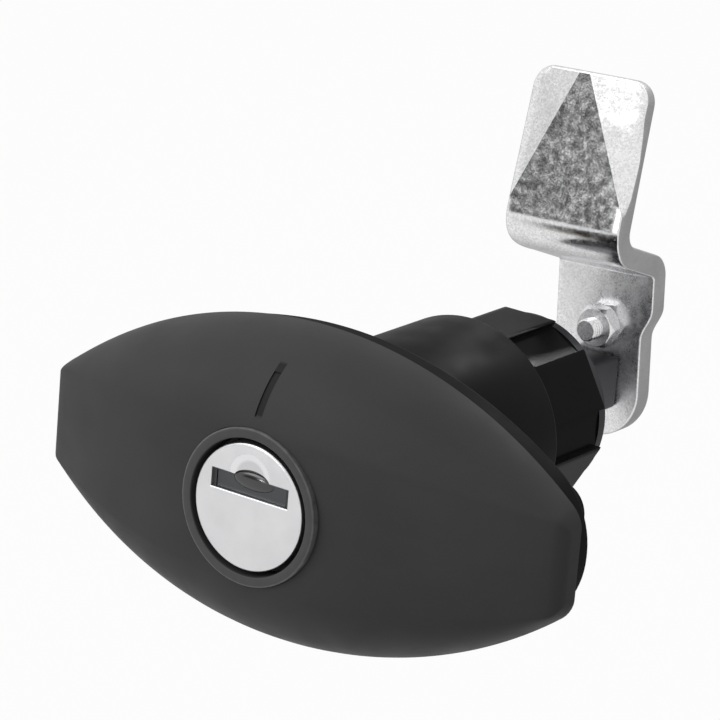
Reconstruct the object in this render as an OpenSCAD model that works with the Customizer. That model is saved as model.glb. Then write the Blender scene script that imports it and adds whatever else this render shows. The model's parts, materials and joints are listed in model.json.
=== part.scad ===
// Caravan door lock: an oval turning handle with a key cylinder outside the door, a barrel through the
// door and a joggled cam inside. Millimetres, X along the handle, Y into the door, Z up.
// The origin is on the lock's axis, in the plane of the door's outer face.

/* [Handle] */
// Length of the handle
handle_len = 77; // [72:0.2:84]
// Height of the handle at its middle
handle_h = 40.2; // [38:0.2:44]
// Depth of the handle from its rear rim to the middle of its front
handle_depth = 13.6; // [13:0.1:15]
// Height of the flat ends
handle_end_h = 11.8; // [9:0.1:13]
// Depth of the flat ends
handle_end_depth = 3.4; // [2.8:0.1:4.5]
// Height of the front band between its two creases, at the middle
band_h = 19; // [16:0.5:22]
// Angle of the crease along the front band
crease_angle = 13; // [6:1:18]
// Wall of the moulded handle
handle_wall = 2.6; // [2:0.1:3]
// Rounding of the edges round the flat ends
handle_edge_r = 1.4; // [0.8:0.1:1.8]
// Width of the pointer groove
pointer_w = 1; // [0.6:0.1:1.6]
// Depth of the pointer groove
pointer_depth = 0.5; // [0.3:0.1:0.8]

/* [Base] */
// Thickness of the base plate
base_t = 3.8; // [3:0.1:4.5]
// How far the base's long edges lie inside the handle's outline
base_inset = 0.9; // [0.4:0.1:1.5]
// Length of the base
base_len = 73; // [70:0.2:75]
// Corner radius of the base's ends
base_end_r = 6; // [3:0.5:7]
// Thickness of the weather gasket
gasket_t = 0.8; // [0.6:0.1:1.2]
// Running gap between the handle's rim and the base
handle_gap = 0.25; // [0.2:0.05:0.5]
// Distance between the two fixing pillars
pillar_spacing = 52; // [46:1:56]
// Diameter of a fixing pillar
pillar_d = 7.6; // [7:0.1:8.4]
// Length of a fixing pillar behind the door's outer face
pillar_len = 10; // [8:0.5:14]
// Outside diameter of a threaded insert
insert_d = 5.6; // [5:0.1:6]
// Tapping bore of a threaded insert
insert_bore_d = 3.3; // [2.5:0.1:4.2]

/* [Barrel] */
// Wall of the door sleeve
sleeve_wall = 1.65; // [1.2:0.05:2.5]
// Length of the door sleeve behind the door's outer face
sleeve_len = 26.9; // [22:0.1:32]
// Wall of the fluted tube at its lands
tube_wall = 2.15; // [2.05:0.05:2.5]
// Depth of the flats on the lands
flat_depth = 0.55; // [0.3:0.05:0.65]
// Length of the fluted tube behind the door's outer face
tube_len = 40.4; // [38:0.1:46]
// Number of flutes
flute_count = 6; // [6:1:8]
// Width of a flute as an angle
flute_angle = 25; // [16:1:26]
// Depth of a flute
flute_depth = 1.1; // [0.9:0.1:1.2]

/* [Rotor] */
// Diameter of the rotor's journal
journal_d = 21.4; // [21.2:0.1:21.6]
// Length of the rotor's flange
flange_len = 35; // [34:0.5:38]
// Height of the rotor's flange
flange_h = 23; // [22:0.5:25]
// Thickness of the rotor's flange
flange_t = 2.4; // [2:0.1:2.6]
// Spacing of the handle screws along the handle
screw_x = 27; // [26:0.5:29]
// Spacing of the handle screws across the handle
screw_z = 15; // [14.5:0.5:16]
// Shank diameter of a handle screw
screw_d = 3; // [2.5:0.1:3.2]
// Length of a handle screw
screw_len = 7.5; // [6:0.5:8]
// Thickness of the two thrust washers
washer_t = 0.5; // [0.4:0.1:0.8]
// Thickness of the circlip
circlip_t = 1; // [0.8:0.1:1.4]
// Cord diameter of the shaft seal
seal_d = 1.4; // [1.2:0.1:1.6]
// Width of the square spindle
spindle_w = 7; // [6:0.1:7.2]
// Diameter of the cross pin through the spindle
cross_pin_d = 3; // [2:0.1:3.2]

/* [Key cylinder] */
// Diameter of the ring round the key plug
ring_d = 19.8; // [19.4:0.1:20.4]
// Diameter of the cylinder's body
shell_d = 18.8; // [18.4:0.1:19]
// Inside diameter of the ring
ring_bore_d = 17.2; // [16.8:0.1:17.6]
// Diameter of the plug's bright cap
cap_d = 16; // [15.6:0.1:16.2]
// Thickness of the cap's face
cap_t = 0.5; // [0.4:0.1:1]
// Diameter of the plug
plug_d = 14.6; // [14.4:0.1:14.8]
// Width of the key slot in the cap
slot_w = 11.5; // [10.8:0.1:12]
// Height of the key slot
slot_h = 2.4; // [2:0.1:2.6]
// Height of the key slot above the plug's axis
slot_z = 2.5; // [2.2:0.1:2.6]
// Radius of the dished finger above the slot
dish_r = 3.3; // [2.5:0.1:3.6]
// Number of wafers
wafer_count = 6; // [4:1:6]
// Thickness of a wafer
wafer_t = 0.9; // [0.7:0.1:1]
// Travel of the wafers
wafer_travel = 0.7; // [0.5:0.1:0.8]
// Travel of the lock bolt
bolt_travel = 2.2; // [1.8:0.1:2.4]
// Width of the lock bolt
bolt_w = 6; // [5:0.5:7]
// Thickness of the lock bolt
bolt_t = 4; // [3:0.5:4.5]

/* [Cam] */
// Distance from the tube's rear end to the cam's front face
cam_gap = 17.7; // [14:0.1:24]
// Thickness of the cam
cam_t = 3; // [2.5:0.1:3.5]
// Width of the cam's plate
cam_w = 13.4; // [13:0.1:16]
// Drop of the cam's round end below the axis
cam_drop = 1.4; // [0.5:0.1:2]
// Height of the first bend above the axis
cam_bend_z = 14.6; // [13.5:0.1:18]
// Turn of the first bend
cam_turn = 70; // [60:1:80]
// Length of the straight shelf between the bends
shelf_len = 6.2; // [4:0.1:9]
// Inner radius of the first bend
bend_r_low = 0.6; // [0.4:0.1:1]
// Inner radius of the second bend
bend_r_high = 2; // [1.5:0.1:3]
// Lean of the tongue towards the inside of the caravan
tongue_lean = 15; // [5:1:20]
// Length of the tongue's straight part
tongue_len = 19.4; // [14:0.1:24]
// Reach of the tongue to the left of the axis
tongue_left = 9.3; // [8.5:0.1:11]
// Reach of the tongue to the right of the axis
tongue_right = 8.3; // [8:0.1:10]
// Corner radius of the tongue
tongue_r = 3; // [2:0.1:4]
// Turn of the cam against the handle, clockwise from the front
cam_set = -3; // [-5:0.5:5]
// Sideways place of the stop bolt
stop_x = 0.8; // [0:0.1:1.2]
// Height of the stop bolt above the axis
stop_z = 7.3; // [7.2:0.1:8]
// Diameter of the stop bolt and of the cam screw
cam_bolt_d = 3; // [2.6:0.1:4]

/* [Hidden] */
$fn = 72;

// Clearances: a running fit, a fixed fit and room to move
run_fit = 0.05;
fixed_fit = 0.03;
free_gap = 0.3;
// Overlap that carries a cut past a face
cut = 1;

// Stack along Y, from the door's outer face forwards
base_rear = -gasket_t;
base_front = base_rear - base_t;
handle_rim = base_front - handle_gap;
handle_front = handle_rim - handle_depth;
flange_rear = base_front - washer_t;
flange_front = flange_rear - flange_t;
// The plug's face stands a little proud of the handle, and the ring a little proud of the plug
plug_proud = 0.15;
ring_proud = 0.4;
plug_face = handle_front - plug_proud;
ring_face = plug_face - ring_proud;
ring_t = 3.5;
ring_rear = ring_face + ring_t;
core_front = plug_face + cap_t;
cap_skirt = 2.8;
cap_rear = plug_face + cap_skirt;
shell_rear = 0.6;
clip_t = 0.8;
clip_play = 0.2;
clip_y = shell_rear + clip_play;
core_rear = 5;
groove_depth = 2;
bolt_y = core_rear + free_gap;
bolt_rear = bolt_y + bolt_t;
circlip_y = tube_len + washer_t + 2 * run_fit;
rotor_lip = 0.9;
rotor_rear = circlip_y + circlip_t + rotor_lip;
cam_y = tube_len + cam_gap;

// Round fits
handle_r = handle_h / 2;
bore_r = journal_d / 2 + run_fit;
land_r = bore_r + tube_wall;
sleeve_bore_r = land_r + run_fit;
sleeve_r = sleeve_bore_r + sleeve_wall;
plug_r = plug_d / 2;
plug_bore_r = plug_r + run_fit;
shell_r = shell_d / 2;
shell_seat_r = shell_r + fixed_fit;
ring_seat_r = ring_d / 2 + fixed_fit;
hub_r = journal_d / 2 + handle_wall;
socket_w = spindle_w + 2 * fixed_fit;

// Handle form: the plan outline, the crown along X and the height of the front band
half_len = handle_len / 2;
half_end = handle_end_h / 2;
crown = handle_depth - handle_end_depth;
function arc_radius(half_chord, rise) = (half_chord * half_chord + rise * rise) / (2 * rise);
function arc_drop(radius, x) = radius - sqrt(radius * radius - x * x);
outline_r = arc_radius(half_len, handle_r - half_end);
crown_r = arc_radius(half_len, crown);
function half_height(x) = handle_r - arc_drop(outline_r, x);
function front_y(x) = handle_front + arc_drop(crown_r, x);
band_margin = 0.3;
band_end = half_end - band_margin;
function half_band(x) = band_end + (band_h / 2 - band_end) * (1 - pow(x / half_len, 2));

// Shoulder of a section: one curve from the crease to the rim, as shares of its own width and depth
shoulder_reach = 0.53;
shoulder_rise = 0.484;
shoulder_steps = 9;
function bezier(a, b, c, d, t) = pow(1 - t, 3) * a + 3 * pow(1 - t, 2) * t * b + 3 * (1 - t) * t * t * c
    + t * t * t * d;
function shoulder(band, high, front, rim) = let (reach = shoulder_reach * (high - band))
    [for (i = [0 : shoulder_steps]) bezier([front, band],
        [front + reach * sin(crease_angle), band + reach * cos(crease_angle)],
        [front + shoulder_rise * (rim - front), high], [rim, high], i / shoulder_steps)];
function backwards(points) = [for (i = [len(points) - 1 : -1 : 0]) points[i]];
function mirrored(points) = [for (q = backwards(points)) [q[0], -q[1]]];
function section(x, inset, rim) = let (high = half_height(x) - inset,
    band = half_band(x) * high / half_height(x), upper = shoulder(band, high, front_y(x) + inset, rim))
    concat(mirrored(upper), upper);

// Stations along X: an even row, with the ends drawn in round the edge radius
station_count = 24;
edge_steps = 3;
function edge_station(i, side) = let (turn = 90 * i / edge_steps)
    [side * (half_len - handle_edge_r * (1 - sin(turn))), handle_edge_r * (1 - cos(turn))];
flat_half = half_len - handle_edge_r;
handle_stations = concat([for (i = [edge_steps : -1 : 1]) edge_station(i, -1)],
    [for (i = [0 : station_count]) [flat_half * (2 * i / station_count - 1), 0]],
    [for (i = [1 : edge_steps]) edge_station(i, 1)]);
cavity_half = half_len - handle_wall;
cavity_count = 14;
function cavity_stations(inset) = [for (i = [0 : cavity_count])
    [cavity_half * (2 * i / cavity_count - 1), inset]];

// Drawn as seen from the front (X to the right, Z up) and extruded from one Y to another
module along_y(y_from, y_to) {
    translate([0, y_to, 0]) rotate([90, 0, 0]) linear_extrude(y_to - y_from) children();
}

// Drawn as seen from the right (Y to the right, Z up) and extruded from one X to another
module along_x(x_from, x_to) {
    translate([x_from, 0, 0]) rotate([90, 0, 90]) linear_extrude(x_to - x_from) children();
}

module rod(y_from, y_to, r) {
    along_y(y_from, y_to) circle(r);
}

module tube(y_from, y_to, r_out, r_in) {
    along_y(y_from, y_to) difference() {
        circle(r_out);
        circle(r_in);
    }
}

module wedge(angle, r) {
    polygon([[0, 0], [r * cos(angle / 2), -r * sin(angle / 2)], [2 * r, 0],
        [r * cos(angle / 2), r * sin(angle / 2)]]);
}

// Skin through a row of closed sections
module skin(rings) {
    n = len(rings[0]);
    last = len(rings) - 1;
    sides = [for (i = [0 : last - 1]) for (j = [0 : n - 1]) let (k = (j + 1) % n)
        each [[i * n + j, i * n + k, (i + 1) * n + k], [i * n + j, (i + 1) * n + k, (i + 1) * n + j]]];
    caps = [[for (j = [n - 1 : -1 : 0]) j], [for (j = [0 : n - 1]) last * n + j]];
    polyhedron([for (ring = rings) each ring], concat(sides, caps), convexity = 6);
}

module handle_form(stations, rim) {
    skin([for (s = stations) [for (p = section(s[0], s[1], rim)) [s[0], p[0], p[1]]]]);
}

module at_handle_screws() {
    for (x = [-1, 1]) for (z = [-1, 1]) translate([x * screw_x / 2, 0, z * screw_z / 2]) children();
}

boss_wall = 2.1;
boss_d = screw_d + 2 * boss_wall;
rib_t = 1.6;
module handle_stiffeners() {
    rod(handle_front, flange_front - run_fit, hub_r);
    at_handle_screws() rod(handle_front, flange_front, boss_d / 2);
    for (side = [-1, 1]) {
        translate([side * (hub_r + half_len) / 2, (handle_front + flange_front) / 2, 0])
            cube([half_len - hub_r + cut, flange_front - handle_front, rib_t], center = true);
    }
}

// The pointer groove follows the shoulder's curve with an arc through its own two ends and middle
pointer_low = 11.4;
pointer_high = 16.8;
pointer_arc_r = 10.5;
module pointer_cut() {
    upper = shoulder(band_h / 2, handle_r, handle_front, handle_rim);
    a = lookup(pointer_low, [for (p = upper) [p[1], p[0]]]);
    b = lookup(pointer_high, [for (p = upper) [p[1], p[0]]]);
    run = norm([b - a, pointer_high - pointer_low]);
    rise = sqrt(pointer_arc_r * pointer_arc_r - run * run / 4);
    mid = [(a + b) / 2, (pointer_low + pointer_high) / 2];
    centre = mid + rise * [pointer_high - pointer_low, a - b] / run;
    intersection() {
        along_x(-pointer_w / 2, pointer_w / 2) translate(centre) difference() {
            circle(pointer_arc_r + cut);
            circle(pointer_arc_r - pointer_depth);
        }
        translate([-pointer_w, handle_front - cut, pointer_low])
            cube([2 * pointer_w, handle_depth, pointer_high - pointer_low]);
    }
}

module handle_shell() {
    color("#3a3b3d") difference() {
        union() {
            difference() {
                handle_form(handle_stations, handle_rim);
                handle_form(cavity_stations(handle_wall), handle_rim + cut);
            }
            intersection() {
                handle_form(cavity_stations(handle_wall / 2), handle_rim);
                handle_stiffeners();
            }
        }
        rod(ring_face - cut, ring_rear + run_fit, ring_seat_r);
        rod(ring_rear, handle_rim, journal_d / 2 + fixed_fit);
        at_handle_screws() rod(flange_rear - screw_len - free_gap, handle_rim, screw_d / 2 + fixed_fit);
        pointer_cut();
    }
}

screw_head_r = 2.6;
screw_head_h = 1.4;
recess_len = 3.4;
recess_w = 0.6;
module countersunk(y_head, extra) {
    translate([0, y_head - screw_head_h, 0]) rotate([-90, 0, 0])
        cylinder(h = screw_head_h, r1 = screw_d / 2 + extra, r2 = screw_head_r + extra);
}

module handle_screws() {
    head = flange_rear - run_fit;
    color("#8d9095") at_handle_screws() difference() {
        union() {
            countersunk(head, 0);
            rod(head - screw_len, head - screw_head_h, screw_d / 2);
        }
        along_y(head - screw_head_h / 2, head + cut) {
            square([recess_len, recess_w], center = true);
            square([recess_w, recess_len], center = true);
        }
    }
}

// The rotor carries the key cylinder in front, the lock bolt in its waist and the spindle behind
seal_y = 14;
seal_groove_w = 1.7;
seal_floor_r = journal_d / 2 - seal_d - run_fit;
pin_setback = 7.4;
pin_y = tube_len - pin_setback;
clip_step = 0.1;
clip_chamber_r = shell_r - clip_step;
tail_chamber_r = plug_r + free_gap;
rotor_waist = 12;
socket_front = bolt_rear + rotor_waist;
circlip_depth = 0.8;
circlip_r = journal_d / 2 - circlip_depth;
bolt_low = -4;
module rotor_outer() {
    rod(ring_rear, flange_rear, journal_d / 2);
    along_y(flange_front, flange_rear) {
        circle(hub_r - free_gap);
        square([flange_len, flange_h - boss_d], center = true);
        square([flange_len - boss_d, flange_h], center = true);
        for (x = [-1, 1]) for (z = [-1, 1])
            translate([x * (flange_len - boss_d) / 2, z * (flange_h - boss_d) / 2]) circle(boss_d / 2);
    }
    rod(flange_rear - run_fit, rotor_rear, journal_d / 2);
}

module rotor() {
    color("#9a9c9f") difference() {
        rotor_outer();
        rod(ring_rear - cut, shell_rear + run_fit, shell_seat_r);
        rod(shell_rear, clip_y + clip_t + free_gap, clip_chamber_r);
        rod(clip_y, bolt_y, tail_chamber_r);
        translate([-bolt_w / 2 - run_fit, bolt_y - run_fit, bolt_low - run_fit])
            cube([bolt_w + 2 * run_fit, bolt_t + 2 * run_fit, journal_d]);
        along_y(socket_front, rotor_rear + cut) square(socket_w, center = true);
        tube(seal_y - seal_groove_w / 2, seal_y + seal_groove_w / 2, journal_d, seal_floor_r);
        tube(circlip_y - run_fit, circlip_y + circlip_t + run_fit, journal_d, circlip_r - fixed_fit);
        at_handle_screws() {
            rod(flange_front - cut, flange_rear + cut, screw_d / 2 + fixed_fit);
            countersunk(flange_rear, 2 * run_fit);
        }
        along_x(-journal_d, journal_d) translate([pin_y, 0]) circle(cross_pin_d / 2 + fixed_fit);
        grub_hole(journal_d);
    }
}

grub_y = -10;
grub_d = 3;
grub_bite = 0.5;
grub_tip = shell_r - grub_bite;
module grub_hole(reach) {
    translate([0, grub_y, -reach]) cylinder(h = reach - grub_tip, d = grub_d + 2 * fixed_fit);
}

module cylinder_grub_screw() {
    color("#5b5e63") translate([0, grub_y, -journal_d / 2 + run_fit]) difference() {
        cylinder(h = journal_d / 2 - grub_tip - 2 * run_fit, d = grub_d);
        translate([0, 0, -cut]) cylinder(h = cut + grub_d / 3, d = grub_d / 2, $fn = 6);
    }
}

// A wafer is a plate with the plug's own round ends, pierced by the key's window
wafer_below = 3.5;
wafer_above = 2.5;
wafer_low = slot_z - wafer_below;
wafer_high = slot_z + wafer_above;
wafer_h = wafer_high - wafer_low;
wafer_pitch = 1.9;
wafer_setback = 6.2;
wafer_first = core_front + wafer_setback;
wafer_sink = 0.1;
channel_margin = 0.55;
channel_w = slot_w - 2 * channel_margin;

module at_wafers() {
    for (i = [0 : wafer_count - 1]) translate([0, wafer_first + i * wafer_pitch, 0]) children();
}

// A coil spring under each wafer stands on the plug at its left end and pushes on the wafer's lug
spring_left = -4.4;
spring_right = 1;
lug_h = 1.2;
lug_left = spring_right + run_fit;
module wafers() {
    color("#c9a94f") at_wafers() along_y(0, wafer_t) {
        difference() {
            intersection() {
                circle(plug_r - wafer_sink);
                translate([-plug_r, wafer_low]) square([plug_d, wafer_h]);
            }
            translate([0, slot_z]) square([channel_w, slot_h + 2 * run_fit], center = true);
        }
        translate([lug_left, wafer_low - lug_h]) square([lug_h, lug_h + run_fit]);
    }
}

module cylinder_shell() {
    groove_reach = plug_r + wafer_travel + free_gap;
    color("#4c4e51") difference() {
        union() {
            rod(ring_face, ring_rear, ring_d / 2);
            rod(ring_rear - run_fit, shell_rear, shell_r);
        }
        rod(ring_face - cut, cap_rear + free_gap, ring_bore_d / 2);
        rod(ring_face, shell_rear + cut, plug_bore_r);
        for (turn = [0, 90]) rotate([0, turn, 0])
            translate([0, wafer_first - free_gap, wafer_low - free_gap])
                cube([groove_reach, wafer_pitch * wafer_count, wafer_h + 2 * free_gap]);
        grub_hole(shell_d);
    }
}

// Spiral groove on the plug's tail: its radius grows evenly with its angle as the lock bolt goes out
follower_d = 2;
follower_low = 2.6;
spiral_steps = 24;
spiral_end_steps = 8;
spiral_half = follower_d / 2 + 3 * run_fit;
function spiral_r(share) = follower_low + bolt_travel * share;
function spiral_point(share) = spiral_r(share) * [-sin(90 * share), cos(90 * share)];
function spiral_heading(share) = let (a = 90 * share, climb = atan2(bolt_travel, spiral_r(share) * PI / 2))
    180 + a - climb;
function spiral_side(share, off) = spiral_point(share)
    + off * [-sin(spiral_heading(share)), cos(spiral_heading(share))];
function spiral_end(share, start) = [for (i = [1 : spiral_end_steps - 1])
    let (a = start - 180 * i / spiral_end_steps) spiral_point(share) + spiral_half * [cos(a), sin(a)]];
// The dust shutter hangs from a pin above the slot, in a pocket behind the cap
shutter_setback = 0.65;
shutter_lift = 0.5;
shutter_y = core_front + shutter_setback;
shutter_z = slot_z + slot_h / 2 + shutter_lift;
knuckle_r = 0.6;
flap_play = 0.1;
flap_len = shutter_z - slot_z + slot_h / 2 + flap_play;
flap_half = channel_w / 2;
pocket_top = shutter_z + knuckle_r + flap_play;
pocket_low = shutter_z - flap_len - flap_play;
channel_end = -1;
clip_bite = 0.9;
clip_groove_r = plug_r - clip_bite;
module spiral_groove() {
    left = [for (i = [0 : spiral_steps]) spiral_side(i / spiral_steps, spiral_half)];
    right = [for (i = [0 : spiral_steps]) spiral_side(i / spiral_steps, -spiral_half)];
    along_y(core_rear - groove_depth, core_rear + cut)
        polygon(concat(left, spiral_end(1, spiral_heading(1) + 90), backwards(right),
            spiral_end(0, spiral_heading(0) - 90)));
}

module plug_core() {
    color("#b9b09a") difference() {
        rod(core_front, core_rear, plug_r);
        translate([-channel_w / 2, core_front - cut, slot_z - slot_h / 2])
            cube([channel_w, channel_end - core_front + cut, slot_h]);
        translate([-flap_half - run_fit, core_front - cut, pocket_low])
            cube([2 * (flap_half + run_fit), cut + shutter_y - core_front + flap_len + free_gap,
                pocket_top - pocket_low]);
        at_wafers() along_y(-run_fit, wafer_t + run_fit) {
            translate([-plug_d, wafer_low - run_fit]) square([2 * plug_d, wafer_h + 2 * run_fit]);
            translate([spring_left, wafer_low - lug_h - run_fit])
                square([lug_left - spring_left + lug_h + wafer_travel + free_gap, lug_h + 2 * run_fit]);
        }
        along_x(-plug_d, plug_d) translate([shutter_y, shutter_z]) circle(pivot_r + fixed_fit);
        tube(clip_y - run_fit, clip_y + clip_t + run_fit, plug_d, clip_groove_r);
        spiral_groove();
    }
}

dish_drop = 0.3;
cap_edge = 0.5;
module plug_cap() {
    color("#d9dadb") difference() {
        union() {
            rod(plug_face + cap_edge, cap_rear, cap_d / 2);
            translate([0, plug_face, 0]) rotate([-90, 0, 0])
                cylinder(h = cap_edge + run_fit, r1 = cap_d / 2 - cap_edge, r2 = cap_d / 2);
        }
        rod(core_front, cap_rear + cut, plug_r + fixed_fit);
        translate([-slot_w / 2, plug_face - cut, slot_z - slot_h / 2]) cube([slot_w, cap_skirt, slot_h]);
        along_y(plug_face - cut, plug_face + dish_drop) intersection() {
            translate([0, slot_z + slot_h / 2]) circle(dish_r);
            translate([-dish_r, slot_z]) square(2 * dish_r);
        }
    }
}

clip_mouth = 70;
module plug_clip() {
    color("#5b5e63") along_y(clip_y, clip_y + clip_t) difference() {
        circle(clip_chamber_r - free_gap);
        circle(clip_groove_r + fixed_fit);
        rotate(-90) wedge(clip_mouth, plug_d);
    }
}

pivot_r = 0.35;
pivot_half = sqrt(plug_r * plug_r - shutter_z * shutter_z) - clip_play;
flap_t = 0.5;
spring_gap = 1.6;
nose_half = 2.4;
shutter_nose_r = 0.5;
nose_lift = 0.5;
module dust_shutter() {
    color("#565a5e") difference() {
        union() {
            translate([-flap_half, shutter_y - knuckle_r, shutter_z - flap_len])
                cube([2 * flap_half, flap_t, flap_len]);
            along_x(-flap_half, flap_half) translate([shutter_y, shutter_z]) circle(knuckle_r);
            along_x(-nose_half, nose_half) translate([shutter_y - knuckle_r, slot_z + nose_lift])
                circle(shutter_nose_r);
        }
        along_x(-plug_d, plug_d) translate([shutter_y, shutter_z]) circle(pivot_r + fixed_fit);
        along_x(-spring_gap - run_fit, spring_gap + run_fit) translate([shutter_y, shutter_z])
            circle(knuckle_r + 2 * run_fit);
    }
}

module shutter_pin() {
    color("#8d9095") along_x(-pivot_half, pivot_half) translate([shutter_y, shutter_z]) circle(pivot_r);
}

// A coil wound along X from one end to the other
coil_sides = 5;
coil_steps = 8;
module coil(x_from, x_to, r, wire_r, turns) {
    count = turns * coil_steps;
    lead = (x_to - x_from - 2 * wire_r) / count;
    skin([for (i = [0 : count]) let (turn = 360 * i / coil_steps, mid = x_from + wire_r + i * lead)
        [for (j = [0 : coil_sides - 1]) let (a = 360 * j / coil_sides, out = r + wire_r * cos(a))
            [mid + wire_r * sin(a), out * cos(turn), out * sin(turn)]]]);
}

shutter_wire_r = 0.08;
shutter_turns = 6;
module shutter_spring() {
    color("#8d9095") translate([0, shutter_y, shutter_z])
        coil(-spring_gap, spring_gap, pivot_r + fixed_fit + shutter_wire_r, shutter_wire_r, shutter_turns);
}

wafer_wire_r = 0.09;
wafer_turns = 5;
module wafer_springs() {
    color("#8d9095") at_wafers() translate([0, wafer_t / 2, wafer_low - lug_h / 2])
        coil(spring_left, spring_right, wafer_t / 2 - 2 * wafer_wire_r, wafer_wire_r, wafer_turns);
}

module lock_bolt() {
    top = journal_d / 2 - free_gap;
    color("#c2c4c6") {
        intersection() {
            translate([-bolt_w / 2, bolt_y, bolt_low]) cube([bolt_w, bolt_t, top - bolt_low]);
            rod(bolt_y - cut, bolt_rear + cut, top);
        }
        translate([0, 0, follower_low]) rod(bolt_y - groove_depth + free_gap, bolt_y + run_fit, follower_d / 2);
    }
}

// Lens of two arcs whose flat ends have rounded corners that run tangent into it
arc_steps = 24;
corner_steps = 8;
function base_quarter(inset) = let (arc_r = outline_r - inset, centre = outline_r - handle_r,
    end_x = base_len / 2 + base_inset - inset - base_end_r,
    end_z = sqrt(pow(arc_r - base_end_r, 2) - end_x * end_x) - centre, tangent = atan2(end_z + centre, end_x))
    concat([for (i = [1 : arc_steps]) let (a = 90 - (90 - tangent) * (i - 0.5) / arc_steps)
            [arc_r * cos(a), arc_r * sin(a) - centre]],
        [for (i = [0 : corner_steps]) let (a = tangent * (1 - i / corner_steps))
            [end_x + base_end_r * cos(a), end_z + base_end_r * sin(a)]]);
function scaled(points, x, z) = [for (q = points) [x * q[0], z * q[1]]];
module base_outline(inset) {
    quarter = base_quarter(inset);
    polygon(concat(quarter, scaled(backwards(quarter), 1, -1), scaled(quarter, -1, -1),
        scaled(backwards(quarter), -1, 1)));
}

module at_pillars() {
    for (side = [-1, 1]) translate([side * pillar_spacing / 2, 0, 0]) children();
}

module tube_outline() {
    difference() {
        intersection() {
            circle(land_r);
            circle((land_r - flat_depth) / cos(180 / flute_count), $fn = flute_count);
        }
        difference() {
            for (i = [0 : flute_count - 1]) rotate(90 + (i + 0.5) * 360 / flute_count)
                wedge(flute_angle, 2 * land_r);
            circle(land_r - flute_depth);
        }
    }
}

window_gap = 0.2;
insert_floor = 2;
insert_len = pillar_len - insert_floor;
module housing() {
    window_w = bolt_w + 2 * window_gap;
    color("#232426") difference() {
        union() {
            along_y(base_front, base_rear) base_outline(base_inset);
            along_y(base_rear - run_fit, tube_len) tube_outline();
            at_pillars() rod(base_rear - run_fit, pillar_len, pillar_d / 2);
        }
        rod(base_front - cut, tube_len + cut, bore_r);
        at_pillars() rod(pillar_len - insert_len, pillar_len + cut, insert_d / 2 + fixed_fit);
        for (turn = [0, 90]) rotate([0, turn, 0]) translate([-window_w / 2, bolt_y - window_gap, 0])
            cube([window_w, bolt_t + 2 * window_gap, land_r + cut]);
    }
}

module threaded_inserts() {
    color("#b8954a") at_pillars() tube(pillar_len - insert_len, pillar_len, insert_d / 2, insert_bore_d / 2);
}

gasket_inset = 1;
module base_gasket() {
    color("#141414") along_y(base_rear, 0) difference() {
        base_outline(base_inset + gasket_inset);
        circle(sleeve_r + run_fit);
        for (side = [-1, 1]) translate([side * pillar_spacing / 2, 0]) circle(pillar_d / 2 + run_fit);
    }
}

module door_sleeve() {
    color("#2a2b2d") tube(base_rear, sleeve_len, sleeve_r, sleeve_bore_r);
}

module shaft_seal() {
    color("#141414") translate([0, seal_y, 0]) rotate([-90, 0, 0]) rotate_extrude()
        translate([journal_d / 2 - seal_d / 2, 0]) circle(seal_d / 2, $fn = 32);
}

thrust_w = 1.6;
circlip_stand = 1.2;
circlip_cover = 0.1;
module front_washer() {
    color("#8d9095") tube(flange_rear, base_front, bore_r + thrust_w, bore_r + run_fit);
}

module rear_washer() {
    front = tube_len + run_fit;
    cover_r = journal_d / 2 + circlip_stand + circlip_cover;
    color("#5b5e63") tube(front, front + washer_t, cover_r, bore_r + run_fit);
}

circlip_mouth = 40;
module rotor_circlip() {
    color("#5b5e63") along_y(circlip_y, circlip_y + circlip_t) difference() {
        circle(journal_d / 2 + circlip_stand);
        circle(circlip_r);
        rotate(-90) wedge(circlip_mouth, journal_d);
    }
}

// The spindle ends in a round nose with two flats, which the cam sits on
nose_step = 0.3;
nose_cut = 1.1;
nose_r = spindle_w / 2 - nose_step;
nose_flat = spindle_w - 2 * nose_cut;
module nose_outline(grow) {
    intersection() {
        circle(nose_r + grow);
        square([nose_flat + 2 * grow, spindle_w], center = true);
    }
}

thread_len = 10;
module spindle() {
    color("#5b5e63") difference() {
        union() {
            along_y(socket_front + free_gap, cam_y) square(spindle_w, center = true);
            rotate([0, cam_set, 0]) along_y(cam_y - run_fit, cam_y + cam_t - 2 * run_fit) nose_outline(0);
        }
        rod(cam_y + cam_t - thread_len - cut, cam_y + cam_t, shank_r + fixed_fit);
        along_x(-spindle_w, spindle_w) translate([pin_y, 0]) circle(cross_pin_d / 2 + fixed_fit);
    }
}

module spindle_pin() {
    half = sqrt(pow(journal_d / 2, 2) - pow(cross_pin_d / 2, 2)) - 2 * run_fit;
    color("#8d9095") along_x(-half, half) translate([pin_y, 0]) difference() {
        circle(cross_pin_d / 2);
        circle(cross_pin_d / 4);
        translate([0, -cross_pin_d / 12]) square([cross_pin_d, cross_pin_d / 6]);
    }
}

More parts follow.
